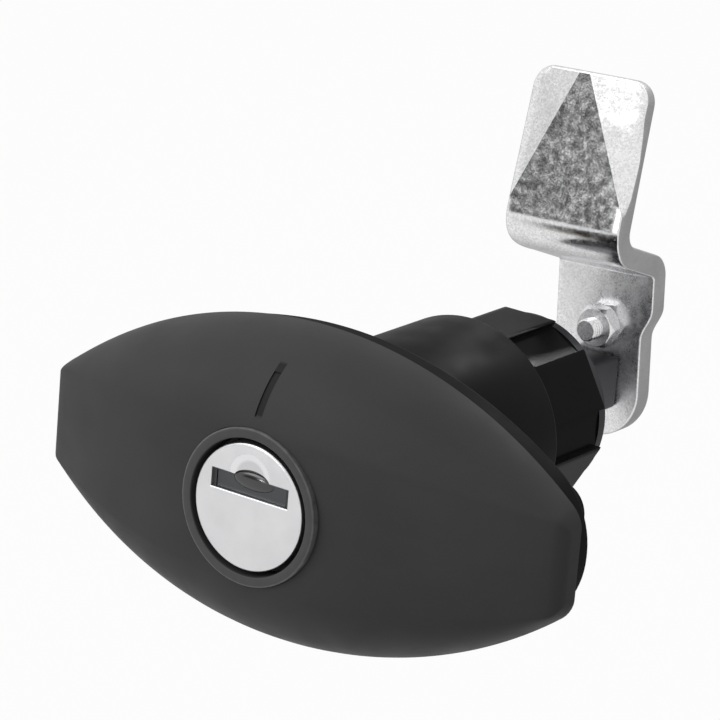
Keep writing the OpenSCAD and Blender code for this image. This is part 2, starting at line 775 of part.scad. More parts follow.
// Side profile of the cam: plate, bend towards the door, sloping shelf, bend back up and leaning tongue
cam_rear = cam_y + cam_t;
plate_low = -cam_drop - cam_w;
low_centre = [cam_y - bend_r_low, cam_bend_z];
turn_out = [cos(cam_turn), sin(cam_turn)];
turn_on = [-sin(cam_turn), cos(cam_turn)];
high_centre = low_centre + shelf_len * turn_on + (bend_r_low + cam_t + bend_r_high) * turn_out;
tongue_back = [cos(tongue_lean), -sin(tongue_lean)];
tongue_on = [sin(tongue_lean), cos(tongue_lean)];
tongue_tip = high_centre - (bend_r_high + cam_t) * tongue_back + tongue_len * tongue_on;
bend_steps = 10;
function bend(centre, r, from, to) = [for (i = [0 : bend_steps])
    let (a = from + (to - from) * i / bend_steps) centre + r * [cos(a), sin(a)]];
module cam_profile() {
    door_side = concat([[cam_y, plate_low]], bend(low_centre, bend_r_low, 0, cam_turn),
        bend(high_centre, bend_r_high + cam_t, 180 + cam_turn, 180 - tongue_lean), [tongue_tip]);
    room_side = concat([[cam_rear, plate_low]], bend(low_centre, bend_r_low + cam_t, 0, cam_turn),
        bend(high_centre, bend_r_high, 180 + cam_turn, 180 - tongue_lean), [tongue_tip + cam_t * tongue_back]);
    polygon(concat(door_side, backwards(room_side)));
}

tongue_low = high_centre[1] - bend_r_high - cam_t;
step_low = 6;
step_high = 10.5;
step_points = 10;
module round_box(left, right, low, high, r) {
    translate([left, low + r]) square([right - left, high - low - 2 * r]);
    translate([left + r, low]) square([right - left - 2 * r, high - low]);
    for (x = [left + r, right - r]) for (z = [low + r, high - r]) translate([x, z]) circle(r);
}

// Front outline of the cam: a round lower end, an even step out on the right and the tongue
module cam_outline() {
    half = cam_w / 2;
    middle = tongue_low + tongue_r;
    step_out = tongue_right - half;
    translate([0, -cam_drop]) circle(half);
    polygon(concat([[-half, middle], [-half, -cam_drop], [half, -cam_drop]],
        [for (i = [0 : step_points]) let (share = i / step_points)
            [half + step_out * (1 - cos(180 * share)) / 2, step_low + (step_high - step_low) * share]],
        [[tongue_right, middle]]));
    round_box(-tongue_left, tongue_right, tongue_low, tongue_tip[1], tongue_r);
}

module cam() {
    color("#cfd0d1") rotate([0, cam_set, 0]) difference() {
        intersection() {
            along_x(-tongue_left - cut, tongue_right + cut) cam_profile();
            along_y(low_centre[0] - shelf_len - cam_y, cam_y + tongue_len + cam_t) cam_outline();
        }
        along_y(cam_y - cut, cam_y + cam_t + cut) nose_outline(fixed_fit);
        translate([stop_x, 0, stop_z]) rod(cam_y - cut, cam_y + cam_t + cut, cam_bolt_d / 2 + fixed_fit);
    }
}

tap_step = 0.4;
shank_r = cam_bolt_d / 2 - tap_step;
cam_washer_r = 3.6;
cam_washer_t = 0.8;
cam_head_h = 2.4;
module cam_washer() {
    color("#8d9095") tube(cam_rear, cam_rear + cam_washer_t, cam_washer_r, shank_r + free_gap);
}

// A pan head with a cross recess on a plain shank that points towards the door
module cam_fastener(seat, head_r, head_h, shank, r) {
    difference() {
        union() {
            rod(seat, seat + head_h, head_r);
            rod(seat - shank, seat + run_fit, r);
        }
        along_y(seat + head_h / 2, seat + head_h + cut) {
            square([head_r, head_r / 4], center = true);
            square([head_r / 4, head_r], center = true);
        }
    }
}

module cam_screw() {
    seat = cam_rear + cam_washer_t;
    color("#a9abad") cam_fastener(seat, cam_washer_r - free_gap, cam_head_h, thread_len, shank_r);
}

nut_flats = 1.75 * cam_bolt_d;
nut_h = 0.8 * cam_bolt_d;
stop_head_r = 0.8 * cam_bolt_d;
stop_head_h = 0.55 * cam_bolt_d;
stop_reach = 2;
module stop_bolt() {
    shank = cam_t + nut_h + stop_reach;
    color("#b4b6b8") rotate([0, cam_set, 0]) translate([stop_x, 0, stop_z])
        cam_fastener(cam_rear, stop_head_r, stop_head_h, shank, cam_bolt_d / 2);
}

module stop_nut() {
    color("#c2c4c6") rotate([0, cam_set, 0]) translate([stop_x, 0, stop_z])
        along_y(cam_y - nut_h, cam_y) difference() {
            circle(nut_flats / sqrt(3), $fn = 6);
            circle(cam_bolt_d / 2 + fixed_fit);
        }
}

handle_shell();
handle_screws();
rotor();
cylinder_shell();
cylinder_grub_screw();
plug_core();
plug_cap();
plug_clip();
dust_shutter();
shutter_pin();
shutter_spring();
wafers();
wafer_springs();
lock_bolt();
housing();
threaded_inserts();
base_gasket();
door_sleeve();
shaft_seal();
front_washer();
rear_washer();
rotor_circlip();
spindle();
spindle_pin();
cam();
cam_washer();
cam_screw();
stop_bolt();
stop_nut();
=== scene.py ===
"""Caravan door lock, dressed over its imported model: handle, key cylinder, housing, sleeve and cam."""
import json
import math

import bmesh
import bpy
from mathutils import Matrix, Vector


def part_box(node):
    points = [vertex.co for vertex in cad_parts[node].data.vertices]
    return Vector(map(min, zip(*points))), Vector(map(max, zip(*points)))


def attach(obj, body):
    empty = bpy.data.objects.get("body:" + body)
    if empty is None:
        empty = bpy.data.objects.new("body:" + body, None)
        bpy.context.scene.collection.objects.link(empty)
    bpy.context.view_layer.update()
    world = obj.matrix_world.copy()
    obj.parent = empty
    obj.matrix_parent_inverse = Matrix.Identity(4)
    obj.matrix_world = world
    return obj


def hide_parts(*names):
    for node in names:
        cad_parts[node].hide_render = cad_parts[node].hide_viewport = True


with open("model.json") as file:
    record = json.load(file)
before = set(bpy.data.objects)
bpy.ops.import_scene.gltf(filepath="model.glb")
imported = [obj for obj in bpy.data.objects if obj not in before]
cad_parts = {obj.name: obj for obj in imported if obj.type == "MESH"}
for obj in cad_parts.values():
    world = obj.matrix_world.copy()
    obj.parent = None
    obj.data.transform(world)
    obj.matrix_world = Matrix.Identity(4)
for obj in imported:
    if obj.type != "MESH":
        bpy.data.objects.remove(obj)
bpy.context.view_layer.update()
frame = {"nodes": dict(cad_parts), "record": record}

bl_info = {
    "name": "Caravan door lock",
    "version": (1, 0, 0),
    "blender": (4, 5, 0),
    "location": "3D View > Sidebar > Door lock",
    "description": "Models and finishes a quarter turn caravan door lock over its packed frame",
    "category": "Object",
}

MM = 0.001
TURN = 2 * math.pi
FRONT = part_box("cylinder_shell")[0][1]
WELD, FINE_WELD = 1e-6, 1e-7
FINISHES = {}


def length(name, description, millimetres):
    """A size in metres, written here in millimetres."""
    return bpy.props.FloatProperty(name=name, description=description, default=millimetres * MM,
                                   unit="LENGTH", precision=5)


def angle(name, description, degrees):
    """An angle in radians, written here in degrees."""
    return bpy.props.FloatProperty(name=name, description=description,
                                   default=math.radians(degrees), unit="ROTATION")


def tone(name, description, red, green, blue):
    """A colour in linear light."""
    return bpy.props.FloatVectorProperty(name=name, description=description, subtype="COLOR", size=3,
                                         min=0, max=1, default=(red, green, blue))


class LockSizes(bpy.types.PropertyGroup):
    """Sizes of the lock that a user would change."""
    handle_len: length("Handle length", "Length of the handle along X", 77)
    handle_high: length("Handle height", "Height of the handle at its middle", 40.2)
    handle_deep: length("Handle depth", "Depth of the handle at its middle", 13.6)
    handle_rim: length("Handle rim", "Place of the handle's rear rim on Y", -4.85)
    end_high: length("End height", "Height of the handle's two ends", 11.8)
    end_deep: length("End depth", "Depth of the handle's two ends", 3.4)
    band_high: length("Band height", "Height of the flat front band at the middle", 19)
    handle_wall: length("Handle wall", "Wall of the handle's moulding", 2.6)
    edge_round: length("Edge round", "Rounding of the handle's two ends", 1.4)
    pointer_w: length("Pointer width", "Width of the pointer groove", 1)
    pointer_low: length("Pointer foot", "Height of the pointer's lower end", 11.2)
    pointer_high: length("Pointer tip", "Height of the pointer's upper end", 17)
    pointer_deep: length("Pointer depth", "Depth of the pointer groove", 0.16)
    ring_r: length("Ring radius", "Outer radius of the ring round the key cylinder", 9.9)
    ring_bore: length("Ring bore", "Radius of the hole in the ring", 8.6)
    cap_r: length("Cap radius", "Radius of the bright cap on the plug", 8)
    slot_w: length("Slot width", "Width of the key slot", 11.5)
    slot_h: length("Slot height", "Height of the key slot", 2.4)
    slot_z: length("Slot place", "Height of the slot above the lock's axis", 2.5)
    dish_r: length("Dish radius", "Radius of the thumb dish above the slot", 3)
    base_len: length("Base length", "Length of the base plate", 74.6)
    base_round: length("Base corner", "Radius of the base plate's corners", 11)
    base_inset: length("Base inset", "Step from the handle's outline in to the base's edge", 0.9)
    gasket_t: length("Gasket thickness", "Thickness of the gasket between base and door", 0.8)
    pillar_x: length("Pillar place", "Distance of a fixing pillar from the axis", 26)
    pillar_r: length("Pillar radius", "Outer radius of a fixing pillar", 3.8)
    pillar_len: length("Pillar length", "Reach of a fixing pillar behind the door's face", 10)
    insert_r: length("Insert radius", "Radius of the pocket for a brass insert", 2.83)
    tube_flats: length("Tube over flats", "Size of the fluted tube across its flats", 24.7)
    tube_d: length("Tube diameter", "Size of the tube across its rounded corners", 25.8)
    tube_bore: length("Tube bore", "Radius of the bore through base and tube", 10.75)
    tube_len: length("Tube length", "Length of the tube behind the door's face", 40.4)
    sleeve_r: length("Sleeve radius", "Outer radius of the plain door sleeve", 14.6)
    sleeve_len: length("Sleeve length", "Length of the plain door sleeve", 26.9)
    spindle_w: length("Spindle width", "Width of the square spindle", 7)
    cam_y: length("Cam place", "Place of the cam's front face on Y", 58.1)
    cam_t: length("Cam sheet", "Thickness of the cam's sheet", 3)
    cam_half: length("Cam half width", "Half width of the cam's lower end", 6.7)
    plate_high: length("Plate height", "Height of the cam's lower bend above the axis", 14.6)
    shelf_len: length("Shelf length", "Straight length of the shelf between the cam's bends", 6.2)
    tongue_left: length("Tongue left", "Reach of the tongue to the left", 9.3)
    tongue_right: length("Tongue right", "Reach of the tongue to the right", 8.3)
    tongue_round: length("Tongue corner", "Radius of the tongue's corners", 3)
    tongue_len: length("Tongue length", "Straight length of the tongue", 19.4)
    cam_turn: angle("Shelf angle", "Turn of the cam's lower bend", 70)
    tongue_lean: angle("Tongue lean", "Lean of the tongue away from the door", 15)
    cam_set: angle("Cam setting", "Turn of the cam on its spindle", 3)
    stop_x: length("Stop bolt X", "Place of the stop bolt on X", 0.8)
    stop_z: length("Stop bolt Z", "Place of the stop bolt on Z", 7.3)
    bolt_r: length("Bolt radius", "Radius of the stop bolt's thread", 1.5)


class LockTones(bpy.types.PropertyGroup):
    """Colours of the lock's finishes."""
    handle: tone("Handle", "Satin charcoal moulding", 0.061, 0.061, 0.062)
    housing: tone("Housing", "Glossy black moulding", 0.015, 0.015, 0.015)
    sleeve: tone("Sleeve", "Satin black moulding", 0.008, 0.008, 0.008)
    ring: tone("Ring", "Satin dark grey coating", 0.076, 0.076, 0.077)
    cap: tone("Cap", "Satin bright metal", 0.71, 0.71, 0.72)
    # The dish's tone is greyer than the cap's as painted shade.
    dish: tone("Dish", "Polished metal of the dish in the cap", 0.6, 0.6, 0.61)
    shutter: tone("Shutter", "Dark burnished steel", 0.085, 0.087, 0.09)
    nose: tone("Shutter nose", "Blackened and polished nose of the shutter", 0.02, 0.02, 0.021)
    zinc: tone("Zinc plate", "Bright zinc plating", 0.80, 0.80, 0.81)
    cut_edge: tone("Cut edge", "Dull sheared edge of the zinc plated sheet", 0.5, 0.5, 0.5)
    casting: tone("Zinc casting", "Dull zinc casting", 0.46, 0.46, 0.47)
    steel: tone("Steel", "Plain turned steel", 0.52, 0.52, 0.53)
    black_steel: tone("Spring steel", "Blackened spring steel", 0.06, 0.06, 0.065)
    brass: tone("Brass", "Plain brass", 0.62, 0.44, 0.17)
    rubber: tone("Rubber", "Black seal rubber", 0.010, 0.010, 0.010)


class Wire:
    """A socket in a material's nodes; Python's operators on it add Math nodes."""
    noise_low, noise_high = 0.3, 0.7

    def __init__(self, tree, socket=None):
        self.tree = tree
        self.socket = socket

    def node(self, kind, settings, inputs, output=0):
        """Add one node: its settings first, then the values or links of its sockets."""
        made = self.tree.nodes.new(kind)
        for name, value in settings.items():
            setattr(made, name, value)
        for name, value in inputs.items():
            if isinstance(value, Wire):
                self.tree.links.new(value.socket, made.inputs[name])
            else:
                made.inputs[name].default_value = value
        return Wire(self.tree, made.outputs[output] if made.outputs else None)

    def maths(self, operation, first, second=0.0):
        """One Math node on one or two values."""
        return self.node("ShaderNodeMath", {"operation": operation}, {0: first, 1: second})

    def __add__(self, other):
        return self.maths("ADD", self, other)

    def __radd__(self, other):
        return self.maths("ADD", other, self)

    def __sub__(self, other):
        return self.maths("SUBTRACT", self, other)

    def __rsub__(self, other):
        return self.maths("SUBTRACT", other, self)

    def __mul__(self, other):
        return self.maths("MULTIPLY", self, other)

    def __rmul__(self, other):
        return self.maths("MULTIPLY", other, self)

    def __abs__(self):
        return self.maths("ABSOLUTE", self)

    def between(self, low, high):
        """0 below low, 1 above high and a smooth rise between them."""
        return self.node("ShaderNodeMapRange", {"interpolation_type": "SMOOTHSTEP"},
                         {"Value": self, "From Min": low, "From Max": high})

    def spread(self, low, high):
        """A noise's own range, stretched from low to high."""
        return self.node("ShaderNodeMapRange", {"clamp": True},
                         {"Value": self, "From Min": self.noise_low, "From Max": self.noise_high,
                          "To Min": low, "To Max": high})

    def blend(self, first, second):
        """Mix two colours by this value; the Mix node has its colours at 6 and 7 and gives them at 2."""
        return self.node("ShaderNodeMix", {"data_type": "RGBA"}, {0: self, 6: first, 7: second}, 2)

    def shade(self, colour, low, high):
        """A colour that this noise varies between two shares of itself."""
        return self.spread(0.0, 1.0).blend(rgba(colour, low), rgba(colour, high))

    def noise(self, size, detail, stretch=None):
        """Noise on this coordinate with features of one size in metres."""
        where = self
        if stretch:
            where = self.node("ShaderNodeMapping", {}, {"Vector": self, "Scale": stretch})
        return self.node("ShaderNodeTexNoise", {}, {"Vector": where, "Scale": 1 / size, "Detail": detail})

    def along(self, axis):
        """One part of this coordinate."""
        return self.node("ShaderNodeSeparateXYZ", {}, {"Vector": self}, axis)

    def radius(self):
        """Distance of this coordinate from the lock's axis."""
        flat = self.node("ShaderNodeVectorMath", {"operation": "MULTIPLY"}, {0: self, 1: (1, 0, 1)})
        return self.node("ShaderNodeVectorMath", {"operation": "LENGTH"}, {0: flat}, "Value")

    def cells(self, size):
        """One even random value for each grain of one size in metres."""
        grains = self.node("ShaderNodeTexVoronoi", {}, {"Vector": self, "Scale": 1 / size}, "Color")
        return grains.node("ShaderNodeSeparateColor", {}, {"Color": grains})


def rgba(colour, share):
    """A colour for a socket, darker or lighter by a share."""
    return (*(min(1.0, channel * share) for channel in colour), 1)


def new_finish(name):
    """An empty material and the wire of its Object coordinates."""
    made = bpy.data.materials.new(name)
    made.use_nodes = True
    made.node_tree.nodes.clear()
    place = Wire(made.node_tree).node("ShaderNodeTexCoord", {}, {}, "Object")
    return made, place


def close_finish(made, place, height, depth, sockets):
    """End a material in one Principled shader whose Normal reads a bump, its depth in millimetres."""
    bump = place.node("ShaderNodeBump", {}, {"Height": height, "Distance": depth * MM, "Strength": 1.0})
    shader = place.node("ShaderNodeBsdfPrincipled", {}, {**sockets, "Normal": bump})
    place.node("ShaderNodeOutputMaterial", {}, {"Surface": shader})
    return made


def moulded_plastic(name, colour, rough, grain, depth, gloss, painted=None):
    """Moulded plastic: eroded grain, faint flow clouds, handled patches and perhaps painted shade in a
    groove.
    """
    made, place = new_finish(name)
    fine = place.noise(grain * MM, 3.0)
    flow = place.noise(11 * MM, 3.0, (0.5, 1.0, 1.0))
    touched = place.noise(5 * MM, 4.0)
    shade = (flow * 0.7 + fine * 0.3).shade(colour, 0.88, 1.12)
    # Painted shade: the pointer groove is darkened to 0.4 of the plastic's colour.
    if painted:
        half, low, high = painted
        x, z = place.along("X"), place.along("Z")
        line = (1 - abs(x).between(half, half * 1.15)) * z.between(low, low * 1.02)
        line = line * (1 - z.between(high, high * 1.02)) * place.along("Y").between(-8 * MM, -9 * MM)
        shade = line.blend(shade, rgba(colour, 0.4))
    sockets = {"Base Color": shade, "Roughness": touched.spread(rough - 0.05, rough + 0.06),
               "Specular IOR Level": gloss}
    return close_finish(made, place, fine, depth, sockets)


def satin_metal(name, colour, rough, grain, depth, stretch=None):
    """Metal with a fine matt or drawn grain and slight tarnish."""
    made, place = new_finish(name)
    fine = place.noise(grain * MM, 4.0, stretch)
    tarnish = place.noise(4 * MM, 4.0)
    sockets = {"Base Color": (fine * 0.5 + tarnish * 0.5).shade(colour, 0.88, 1.08),
               "Roughness": (fine * 0.6 + tarnish * 0.4).spread(rough - 0.06, rough + 0.08),
               "Metallic": 1.0}
    return close_finish(made, place, fine, depth, sockets)


def zinc_plating(name, colour):
    """Bright zinc: spangle grains and dull mottling on a mirror that isn't quite flat, scuffed low down."""
    made, place = new_finish(name)
    warp = place.noise(2.0 * MM, 2.6)
    spangle = place.cells(0.22 * MM)
    fine = place.noise(0.3 * MM, 4.0)
    mottle = place.noise(1.2 * MM, 4.0)
    blotch = place.noise(5 * MM, 3.0)
    shade = (spangle * 0.35 + blotch * 0.4 + fine * 0.25).shade(colour, 0.8, 1.1)
    scuffed = 1 - place.along("Z").between(13 * MM, 20 * MM)
    dull = (mottle * 0.85 + spangle * 0.15).spread(0.12, 0.25) + scuffed * blotch.spread(0.04, 0.2)
    sockets = {"Base Color": shade, "Roughness": dull, "Metallic": 1.0}
    return close_finish(made, place, warp, 0.014, sockets)


def coated_ring(name, colour, bore, edge):
    """Dark satin coating with painted shade inside its bore, lighter along its outer edge."""
    made, place = new_finish(name)
    fine = place.noise(0.12 * MM, 3.0)
    patch = place.noise(1.2 * MM, 4.0)
    across = place.radius()
    shade = (fine * 0.5 + patch * 0.5).shade(colour, 0.88, 1.12)
    # The outer edge is lighter in patches, at 2.3 of the coating's colour.
    outer_lighter = across.between(edge - 0.3 * MM, edge - 0.1 * MM) * patch.spread(0.3, 1.0)
    shade = outer_lighter.blend(shade, rgba(colour, 2.3))
    # Painted shade: the wall of the bore is darkened to half the coating's colour.
    shade = across.between(bore + 0.05 * MM, bore + 0.12 * MM).blend(rgba(colour, 0.5), shade)
    sockets = {"Base Color": shade, "Roughness": patch.spread(0.42, 0.54), "Metallic": 0.0,
               "Specular IOR Level": 0.25}
    return close_finish(made, place, fine, 0.006, sockets)


def polished_dish(name, colour, centre, radius):
    """Polished bowl with a painted highlight along its rim; its centre is a height on Z."""
    made, place = new_finish(name)
    fine = place.noise(0.1 * MM, 4.0)
    x, up = place.along("X"), place.along("Z") - centre
    # Painted highlight: the part near the rim is 1.28 times the dish's colour.
    rim = place.maths("SQRT", x * x + up * up).between(radius - 1.1 * MM, radius - 0.6 * MM)
    shade = fine.shade(colour, 0.95, 1.05)
    sockets = {"Base Color": rim.blend(shade, rgba(colour, 1.28)), "Roughness": fine.spread(0.1, 0.16),
               "Metallic": 1.0}
    return close_finish(made, place, fine, 0.002, sockets)


def greased_casting(name, colour, front):
    """Dull zinc casting, nearly black from a place on Y forwards as painted shade in the gap round the cap.
    """
    made, place = new_finish(name)
    fine = place.noise(0.3 * MM, 4.0)
    tarnish = place.noise(4 * MM, 4.0)
    clean = (fine * 0.5 + tarnish * 0.5).shade(colour, 0.88, 1.08)
    # Painted shade: the front of the casting is darkened to 0.06 to 0.1 of its colour.
    black = fine.shade(colour, 0.06, 0.1)
    where = place.along("Y").between(front, front + 0.4 * MM)
    sockets = {"Base Color": where.blend(black, clean), "Roughness": fine.spread(0.42, 0.56),
               "Metallic": where}
    return close_finish(made, place, fine, 0.02, sockets)


def rubber_skin(name, colour):
    """Soft black rubber with a dusty bloom."""
    made, place = new_finish(name)
    fine = place.noise(0.2 * MM, 4.0)
    bloom = place.noise(3 * MM, 4.0)
    sockets = {"Base Color": bloom.shade(colour, 0.8, 2.2),
               "Roughness": fine.spread(0.65, 0.85)}
    return close_finish(made, place, fine, 0.015, sockets)


def make_finishes(tones, sizes):
    """Make each material; plastics and metals give roughness, then grain and depth in millimetres."""
    # Half width and two heights on Z of the pointer groove, which gets painted shade.
    pointer = (sizes.pointer_w / 2, sizes.pointer_low + 0.1 * MM, sizes.pointer_high)
    slot_top = sizes.slot_z + sizes.slot_h / 2
    # Where the plug core's painted shade begins on Y.
    gap_shade_from = -17.9 * MM
    recipes = {
        "handle_plastic": (moulded_plastic, tones.handle, 0.5, 0.14, 0.012, 0.08, pointer),
        "housing_plastic": (moulded_plastic, tones.housing, 0.16, 0.5, 0.004, 0.025),
        "base_plastic": (moulded_plastic, tones.housing, 0.55, 0.2, 0.008, 0.03),
        "sleeve_plastic": (moulded_plastic, tones.sleeve, 0.4, 0.2, 0.006, 0.045),
        "nose_steel": (moulded_plastic, tones.nose, 0.13, 0.12, 0.0005, 0.8),
        "cap_metal": (satin_metal, tones.cap, 0.34, 0.1, 0.004),
        "dark_shutter": (satin_metal, tones.shutter, 0.36, 0.12, 0.004),
        "cut_edge": (satin_metal, tones.cut_edge, 0.5, 0.25, 0.02, (1.0, 0.3, 1.0)),
        "zinc_casting": (satin_metal, tones.casting, 0.48, 0.3, 0.02),
        "plain_steel": (satin_metal, tones.steel, 0.34, 0.16, 0.008),
        "black_steel": (satin_metal, tones.black_steel, 0.4, 0.2, 0.008),
        "brass": (satin_metal, tones.brass, 0.32, 0.16, 0.008),
        "dark_ring": (coated_ring, tones.ring, sizes.ring_bore, sizes.ring_r),
        "dish_metal": (polished_dish, tones.dish, slot_top, sizes.dish_r),
        "greased_casting": (greased_casting, tones.casting, gap_shade_from),
        "zinc_plate": (zinc_plating, tones.zinc),
        "rubber": (rubber_skin, tones.rubber),
    }
    for name, (finish, *values) in recipes.items():
        FINISHES[name] = finish(name, *values)


def raw(name, bm):
    """Put a bmesh into the scene as a plain object, its doubles merged and its faces turned outwards."""
    bmesh.ops.remove_doubles(bm, verts=bm.verts, dist=WELD)
    bmesh.ops.recalc_face_normals(bm, faces=bm.faces)
    mesh = bpy.data.meshes.new(name)
    bm.to_mesh(mesh)
    bm.free()
    made = bpy.data.objects.new(name, mesh)
    bpy.context.scene.collection.objects.link(made)
    return made


def combine(made, others, operation="DIFFERENCE"):
    """Cut others from an object, or keep what they share, and take them away."""
    for other in others:
        step = made.modifiers.new("Cut", "BOOLEAN")
        step.operation = operation
        step.solver = "EXACT"
        step.object = other
    mesh = bpy.data.meshes.new_from_object(made.evaluated_get(bpy.context.evaluated_depsgraph_get()))
    made.modifiers.clear()
    made.data = mesh
    for other in others:
        bpy.data.objects.remove(other)
    if not mesh.polygons:
        raise RuntimeError(made.name + " is empty after its cuts")


def dress(made, body, node, slot, round_edges=0.0, sharp=40, finishes=None):
    """Give a piece its body, its finishes, smooth shading and edge rounds, and hide the CAD node it stands
    for.
    """
    kinds = [face.material_index for face in made.data.polygons]
    made.data.materials.clear()
    for name in finishes or (slot,):
        made.data.materials.append(FINISHES[name])
    last = len(made.data.materials) - 1
    for face, kind in zip(made.data.polygons, kinds):
        face.use_smooth = True
        face.material_index = min(kind, last)
    made.data.set_sharp_from_angle(angle=math.radians(sharp))
    for edge in made.data.edges:
        edge.use_edge_sharp = edge.use_edge_sharp or edge.use_seam
    if round_edges:
        rounds = made.modifiers.new("Edge rounds", "BEVEL")
        rounds.width = round_edges
        rounds.segments = 3
        rounds.limit_method = "ANGLE"
        rounds.angle_limit = math.radians(sharp)
        rounds.harden_normals = True
    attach(made, body)
    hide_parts(node)


def everything(bm):
    """All that a bmesh holds."""
    return bm.verts[:] + bm.edges[:] + bm.faces[:]


def verts_of(geom):
    """The vertices among what an operator gives back."""
    return [item for item in geom if isinstance(item, bmesh.types.BMVert)]


def spun(profile, steps=96):
    """Spin a closed profile of (radius, y) points round the lock's axis."""
    bm = bmesh.new()
    points = [bm.verts.new((r, y, 0)) for r, y in profile]
    lines = [bm.edges.new(pair) for pair in zip(points, points[1:] + points[:1])]
    bmesh.ops.spin(bm, geom=points + lines, cent=(0, 0, 0), axis=(0, 1, 0), angle=TURN, steps=steps,
                   use_merge=True)
    bmesh.ops.remove_doubles(bm, verts=bm.verts, dist=FINE_WELD)
    bmesh.ops.recalc_face_normals(bm, faces=bm.faces)
    return bm


def pipe(inner, outer, start, end, steps=96):
    """A plain pipe on the lock's axis, or a rod where its inner radius is 0."""
    return spun([(inner, start), (outer, start), (outer, end), (inner, end)], steps)


def prism(outline, y_from, y_to):
    """Extrude an outline of (x, z) points along Y."""
    bm = bmesh.new()
    ring = bmesh.ops.create_circle(bm, cap_ends=True, segments=len(outline), radius=1)["verts"]
    for vert, (x, z) in zip(ring, outline):
        vert.co = (x, y_from, z)
    drawn = bmesh.ops.extrude_face_region(bm, geom=bm.faces[:])["geom"]
    bmesh.ops.translate(bm, vec=(0, y_to - y_from, 0), verts=verts_of(drawn))
    bmesh.ops.recalc_face_normals(bm, faces=bm.faces)
    return bm


def block(size, middle):
    """A box of one size about a point."""
    bm = bmesh.new()
    bmesh.ops.create_cube(bm, size=1, matrix=Matrix.Translation(middle) @ Matrix.Diagonal((*size, 1)))
    return bm


def soften(bm, offset, segments=3, least=30):
    """Bevel the edges of a bmesh that are sharper than an angle."""
    edges = [e for e in bm.edges if len(e.link_faces) == 2 and e.calc_face_angle() > math.radians(least)]
    bmesh.ops.bevel(bm, geom=edges, offset=offset, segments=segments, profile=0.5, affect="EDGES",
                    clamp_overlap=True, material=-1)
    return bm


def sliced(bm, point, normal, clear=False):
    """Cut a bmesh along a plane, clear away what lies beyond if asked, and give the edges of the cut."""
    cut = bmesh.ops.bisect_plane(bm, geom=everything(bm), dist=FINE_WELD, plane_co=point,
                                 plane_no=normal, clear_outer=clear)["geom_cut"]
    return [item for item in cut if isinstance(item, bmesh.types.BMEdge)]


def turned(bm, turn):
    """Turn a bmesh round the lock's axis."""
    bmesh.ops.rotate(bm, cent=(0, 0, 0), matrix=Matrix.Rotation(turn, 3, "Y"), verts=bm.verts)
    return bm


def arc(x, z, r, start, end, steps):
    """Points of an arc, its angles in degrees."""
    turns = [math.radians(start + (end - start) * i / steps) for i in range(steps + 1)]
    return [(x + r * math.cos(a), z + r * math.sin(a)) for a in turns]


def spaced(reach, steps):
    """Even places from -reach to reach, with so many steps on each side of 0."""
    return [reach * (i / steps - 1) for i in range(2 * steps + 1)]


def aim(a):
    """The unit vector at an angle."""
    return Vector((math.cos(a), math.sin(a)))


def arc_drop(radius, x):
    """How far an arc has fallen at a distance from its top."""
    return radius - math.sqrt(radius * radius - x * x)


def arc_radius(half_chord, rise):
    """Radius of the arc over a chord."""
    return (half_chord * half_chord + rise * rise) / (2 * rise)


def bezier(a, b, c, d, t):
    """A point of a cubic curve."""
    return a * (1 - t) ** 3 + b * 3 * (1 - t) ** 2 * t + c * 3 * (1 - t) * t * t + d * t ** 3


class HandleForm:
    """The handle's outline, crown and shoulders, as its section at any place along X."""
    shoulder_steps, band_steps = 18, 4
    crease, crease_pull, rim_pull = math.radians(13), 0.53, 0.484
    end_land = 0.3 * MM

    def __init__(self, sizes):
        self.s = sizes
        self.half = sizes.handle_len / 2
        self.high = sizes.handle_high / 2
        self.front = sizes.handle_rim - sizes.handle_deep
        self.outline_r = arc_radius(self.half, self.high - sizes.end_high / 2)
        self.crown_r = arc_radius(self.half, sizes.handle_deep - sizes.end_deep)

    def section(self, x, inset, rim):
        """Points (y, z) from the lower rim round the front to the upper rim."""
        outer = self.high - arc_drop(self.outline_r, x)
        high = outer - inset
        front = self.front + arc_drop(self.crown_r, x) + inset
        end = self.s.end_high / 2 - self.end_land
        band = (end + (self.s.band_high / 2 - end) * (1 - (x / self.half) ** 2)) * high / outer
        reach = self.crease_pull * (high - band)
        knots = [Vector((front, band)),
                 Vector((front + reach * math.sin(self.crease), band + reach * math.cos(self.crease))),
                 Vector((front + self.rim_pull * (rim - front), high)), Vector((rim, high))]
        upper = [bezier(*knots, i / self.shoulder_steps) for i in range(self.shoulder_steps + 1)]
        flat = [Vector((front, band * (2 * i / self.band_steps - 1))) for i in range(1, self.band_steps)]
        return [Vector((p.x, -p.y)) for p in reversed(upper)] + flat + upper

    def solid(self, name, stations, rim):
        """A grid bent round through the sections at the stations (x, inset), closed along the rim."""
        rings = [[(x, p.x, p.y) for p in self.section(x, inset, rim)] for x, inset in stations]
        for ring in rings:
            ring.append(ring[0])
        columns, rows = len(rings) - 1, len(rings[0]) - 1
        bm = bmesh.new()
        bmesh.ops.create_grid(bm, x_segments=columns, y_segments=rows, size=1)
        for vert in bm.verts:
            vert.co = rings[round((vert.co.x + 1) / 2 * columns)][round((vert.co.y + 1) / 2 * rows)]
        bmesh.ops.remove_doubles(bm, verts=bm.verts, dist=FINE_WELD)
        bmesh.ops.holes_fill(bm, edges=[e for e in bm.edges if e.is_boundary], sides=0)
        return raw(name, bm)


